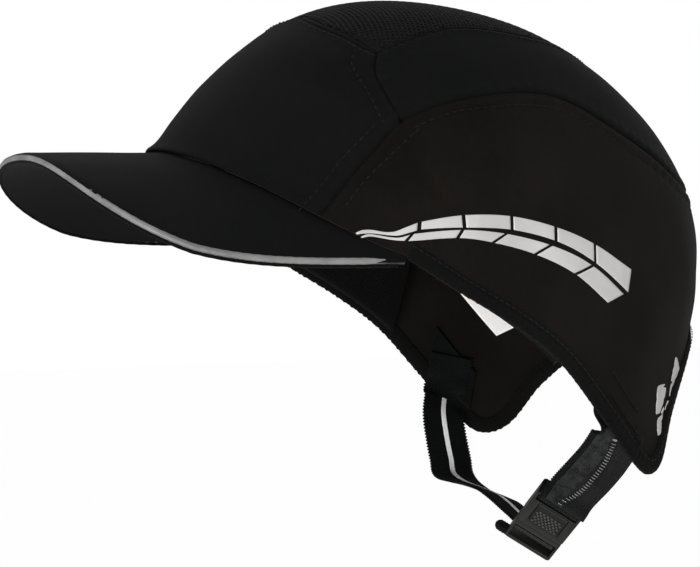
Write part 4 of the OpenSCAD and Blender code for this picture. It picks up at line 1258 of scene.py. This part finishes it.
# Right run, down from the other lobe and up to the tongue's bar, with its half turn before the buckle
BAR_LOW = -SOCKET_L - FRAME_L / 2 - 1
RIGHT_POINTS = [below_tab(18, 3.3) * MIRROR, below_tab(10, 3.4) * MIRROR, below_tab(2, 3.8) * MIRROR,
                RIGHT_END + [1, 0.5, -9], RIGHT_END + [7, 1, -25], RIGHT_END + [17, 0, -32.5],
                mix(RIGHT_END + [20, 0, -34], in_buckle(0, BAR_LOW, -FRAME_T / 2 - 4), 0.5) + [0, 0, 1.5],
                in_buckle(0, BAR_LOW - 9, -FRAME_T / 2 - 4.6),
                in_buckle(0, BAR_LOW - 1, -FRAME_T / 2 - WEB_T / 2 - 1.9)]
FAR_RIM = RIM_SIDE * MIRROR
right_mid, right_s = resample_like(RIGHT_POINTS, [(0, FAR_RIM), (0.14, FAR_RIM), (0.24, (0.1, 0.95, 0)),
                                                  (0.42, (0.1, 0.98, -0.05)), (0.55, (0.36, 0.88, -0.32)),
                                                  (0.72, (0.36, 0.86, -0.36)), (0.86, ACROSS), (1, ACROSS)], 210)
SPLIT = 126


def right_run(name, first, last, half_wide, raise_by, thick, material, slot="webbing", wave=0.0):
    return webbing(name, right_mid[first:last], right_s[first:last], -half_wide, half_wide, raise_by, thick,
                   material, slot, wave)


upper_run, edges_up, _, up = right_run("webbing_right", 0, SPLIT + 2, HALF_W, 0.0, WEB_T, WEBBING_DARK, wave=0.2)
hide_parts("webbing_right")
cross_joint(upper_run)
lower_run, edges_low, _, _ = right_run("webbing_right_end", SPLIT, None, HALF_W, 0.0, WEB_T, WEBBING_DARK)


def tongue_joint(piece):
    """Bakes the piece's placement into its points."""
    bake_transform(piece)


tongue_joint(lower_run)
picot_edges("webbing_right_picots", edges_up, cross_joint)
picot_edges("webbing_right_end_picots", edges_low, tongue_joint)
STRIPE_SIGN = float(np.sign((up[60] * VIEW_BACK).sum()))
for side_sign, word in ((1, "front"), (-1, "back")):
    high = side_sign * STRIPE_SIGN * (WEB_T / 2 + 0.1)
    look = (0.95, high, 0.3, WHITE_THREAD, "white_thread")
    stripe = right_run("stripe_right_" + word, 30, SPLIT + 2, *look)[0]
    if side_sign > 0:
        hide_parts("stripe_right")
    cross_joint(stripe)
    tongue_joint(right_run("stripe_right_end_" + word, SPLIT, -14, *look)[0])

# ---------------------------------------------------------------- buckle


def bevelled_copy(node, name, width, material, body):
    """A solid's own shape with its edges rounded."""
    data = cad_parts[node].data.copy()
    data.name = name
    work = bmesh.new()
    work.from_mesh(data)
    bmesh.ops.remove_doubles(work, verts=work.verts, dist=0.00001)
    bmesh.ops.dissolve_limit(work, angle_limit=math.radians(1.5), verts=work.verts, edges=work.edges)
    bmesh.ops.recalc_face_normals(work, faces=work.faces)
    work.to_mesh(data)
    work.free()
    data.materials.clear()
    data.materials.append(material)
    piece = add_object(name, data)
    mod = piece.modifiers.new("round", "BEVEL")
    mod.width = width * MM
    mod.segments = 3
    mod.limit_method = "ANGLE"
    mod.angle_limit = math.radians(35)
    mod.miter_outer = "MITER_ARC"
    mod.harden_normals = False
    shown = bpy.context.evaluated_depsgraph_get()
    mesh = bpy.data.meshes.new_from_object(piece.evaluated_get(shown))
    mesh.name = name
    bpy.data.objects.remove(piece)
    piece = add_object(name, mesh)
    mesh.shade_smooth()
    mesh.set_sharp_from_angle(angle=math.radians(40))
    return dress(piece, body, (node,))


bevelled_copy("buckle_socket", "buckle_socket_round", 0.45, BUCKLE, "strap")
bevelled_copy("buckle_tongue", "buckle_tongue_round", 0.45, BUCKLE, "tongue")


def knurled_button():
    """The button's face: a smooth upper third, and rows of small pyramids standing proud below it. The face is a
    near-black copy of the button plastic that paints the shade of its recess and of the gaps between the
    pyramids; the pyramids are a light grey copy that paints their highlight.
    """
    window_l = SOCKET_L - 3.6 - 6.4
    w, l = 12.5, window_l - 0.5
    y0, top = -SOCKET_L + 3.6 + 0.25, SOCKET_T / 2 + 0.3
    pts, faces = [], []

    def box(x0, x1, y_low, y_high, z0, z1, inset):
        base = len(pts)
        for z, k in ((z0, 0.0), (z1 - inset, 0.0), (z1, inset)):
            pts.extend([(x0 + k, y_low + k, z), (x1 - k, y_low + k, z), (x1 - k, y_high - k, z),
                        (x0 + k, y_high - k, z)])
        faces.append((base + 3, base + 2, base + 1, base))
        for r in (0, 4):
            for k in range(4):
                l2 = (k + 1) % 4
                faces.append((base + r + k, base + r + l2, base + r + 4 + l2, base + r + 4 + k))
        faces.append((base + 8, base + 9, base + 10, base + 11))

    low = (SOCKET_T - 3.2) / 2 - 0.8
    box(-w / 2, w / 2, y0, y0 + l, low + 0.4, top, 0.35)
    box(-7.5, 7.5, y0, y0 + l, low - 0.05, low + 0.75, 0.05)
    step = 1.62
    for j in range(6):
        for i in range(7):
            x = (i - 3) * step + (step / 2 if j % 2 else 0)
            y = y0 + 1.0 + j * 1.42
            if abs(x) > w / 2 - 0.8:
                continue
            base = len(pts)
            r = 0.62
            for z, k in ((top - 0.05, r), (top + 0.2, r * 0.8), (top + 0.5, r * 0.25)):
                pts.extend([(x - k, y, z), (x, y - k * 0.86, z), (x + k, y, z), (x, y + k * 0.86, z)])
            for r4 in (0, 4):
                for k in range(4):
                    l2 = (k + 1) % 4
                    faces.append((base + r4 + k, base + r4 + l2, base + r4 + 4 + l2, base + r4 + 4 + k))
            faces.append((base + 8, base + 9, base + 10, base + 11))
            faces.append((base + 3, base + 2, base + 1, base))
    placed = np.array([in_buckle(*p) for p in pts])
    # the face is in the painted-shade copy of the button plastic, the pyramids in the painted-highlight copy
    parts = [("release_button_face", faces[:18], BUTTON_FACE_PAINTED_SHADE, ("release_button",)),
             ("release_button_knurl", faces[18:], KNURL_PAINTED_HIGHLIGHT, ())]
    for name, part, material, replaced in parts:
        used = sorted({v for f in part for v in f})
        number = {v: k for k, v in enumerate(used)}
        piece = mesh_piece(name, placed[used], [[number[v] for v in f] for f in part], material, None,
                           uv=np.array(pts)[used][:, :2])
        finish_normals(piece)
        piece.data.shade_flat()
        dress(piece, "button", replaced)


knurled_button()


def tail_loop():
    """Folded end of the webbing, rolled and sewn, its free end rounded."""
    xs = np.linspace(-14.6, HALF_W - 3.0, 70)
    from_end = np.clip((xs - xs[0]) / 2.2, 0.02, 1)
    y, z = -SOCKET_L - 0.25 - FRAME_L - 2.2, -1.4
    path = np.array([in_buckle(x, y + 0.12 * math.sin(x * 0.7), z) for x in xs])
    radius = 2.15 * np.sqrt(1 - (1 - from_end) ** 2) * (1 + 0.03 * np.sin(xs * 5.2))
    return tube("tail_loop", path, radius, 18, WEBBING_DARK, "tongue", ("tail_loop",))


tail_loop()

# Ribs on the tongue's bar
for k in range(4):
    high = 0.75 + 0.35 * (1.5 - abs(k - 1.5))
    line = np.array([in_buckle(x, BAR_LOW - 1.5 + k, high) for x in np.linspace(-8.6, 8.6, 40)])
    tube("tongue_grip_%d" % k, line, 0.46, 10, BUCKLE, "tongue")

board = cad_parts["brim_board"].data
board.materials.clear()
board.materials.append(BOARD)


def leaf_spring():
    """Bent leaf, a rounded copy of the solid's own shape, its placement baked into its points."""
    piece = bevelled_copy("button_spring", "button_spring_leaf", 0.04, STEEL, None)
    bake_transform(piece)


leaf_spring()

# ---------------------------------------------------------------- floor


def floor():
    mat, tree, bsdf = new_material("pale_floor")
    bsdf.inputs["Base Color"].default_value = (0.9, 0.9, 0.9, 1)
    bsdf.inputs["Roughness"].default_value = 0.9
    glow = add(tree, "ShaderNodeEmission", Strength=1.0)
    glow.inputs["Color"].default_value = (1, 1, 1, 1)
    path = add(tree, "ShaderNodeLightPath")
    share = add(tree, "ShaderNodeMath", operation="MULTIPLY")
    share.inputs[1].default_value = 0.98
    tree.links.new(path.outputs["Is Camera Ray"], share.inputs[0])
    both = add(tree, "ShaderNodeMixShader")
    tree.links.new(share.outputs[0], both.inputs[0])
    tree.links.new(bsdf.outputs[0], both.inputs[1])
    tree.links.new(glow.outputs[0], both.inputs[2])
    tree.links.new(both.outputs[0], tree.nodes["Material Output"].inputs["Surface"])
    data = bpy.data.meshes.new("floor")
    size, low = 9.0, -0.9
    corners = [(-size, -size, low), (size, -size, low), (size, size, low), (-size, size, low)]
    data.from_pydata(corners, [], [(0, 1, 2, 3)])
    data.materials.append(mat)
    add_object("floor", data)


floor()
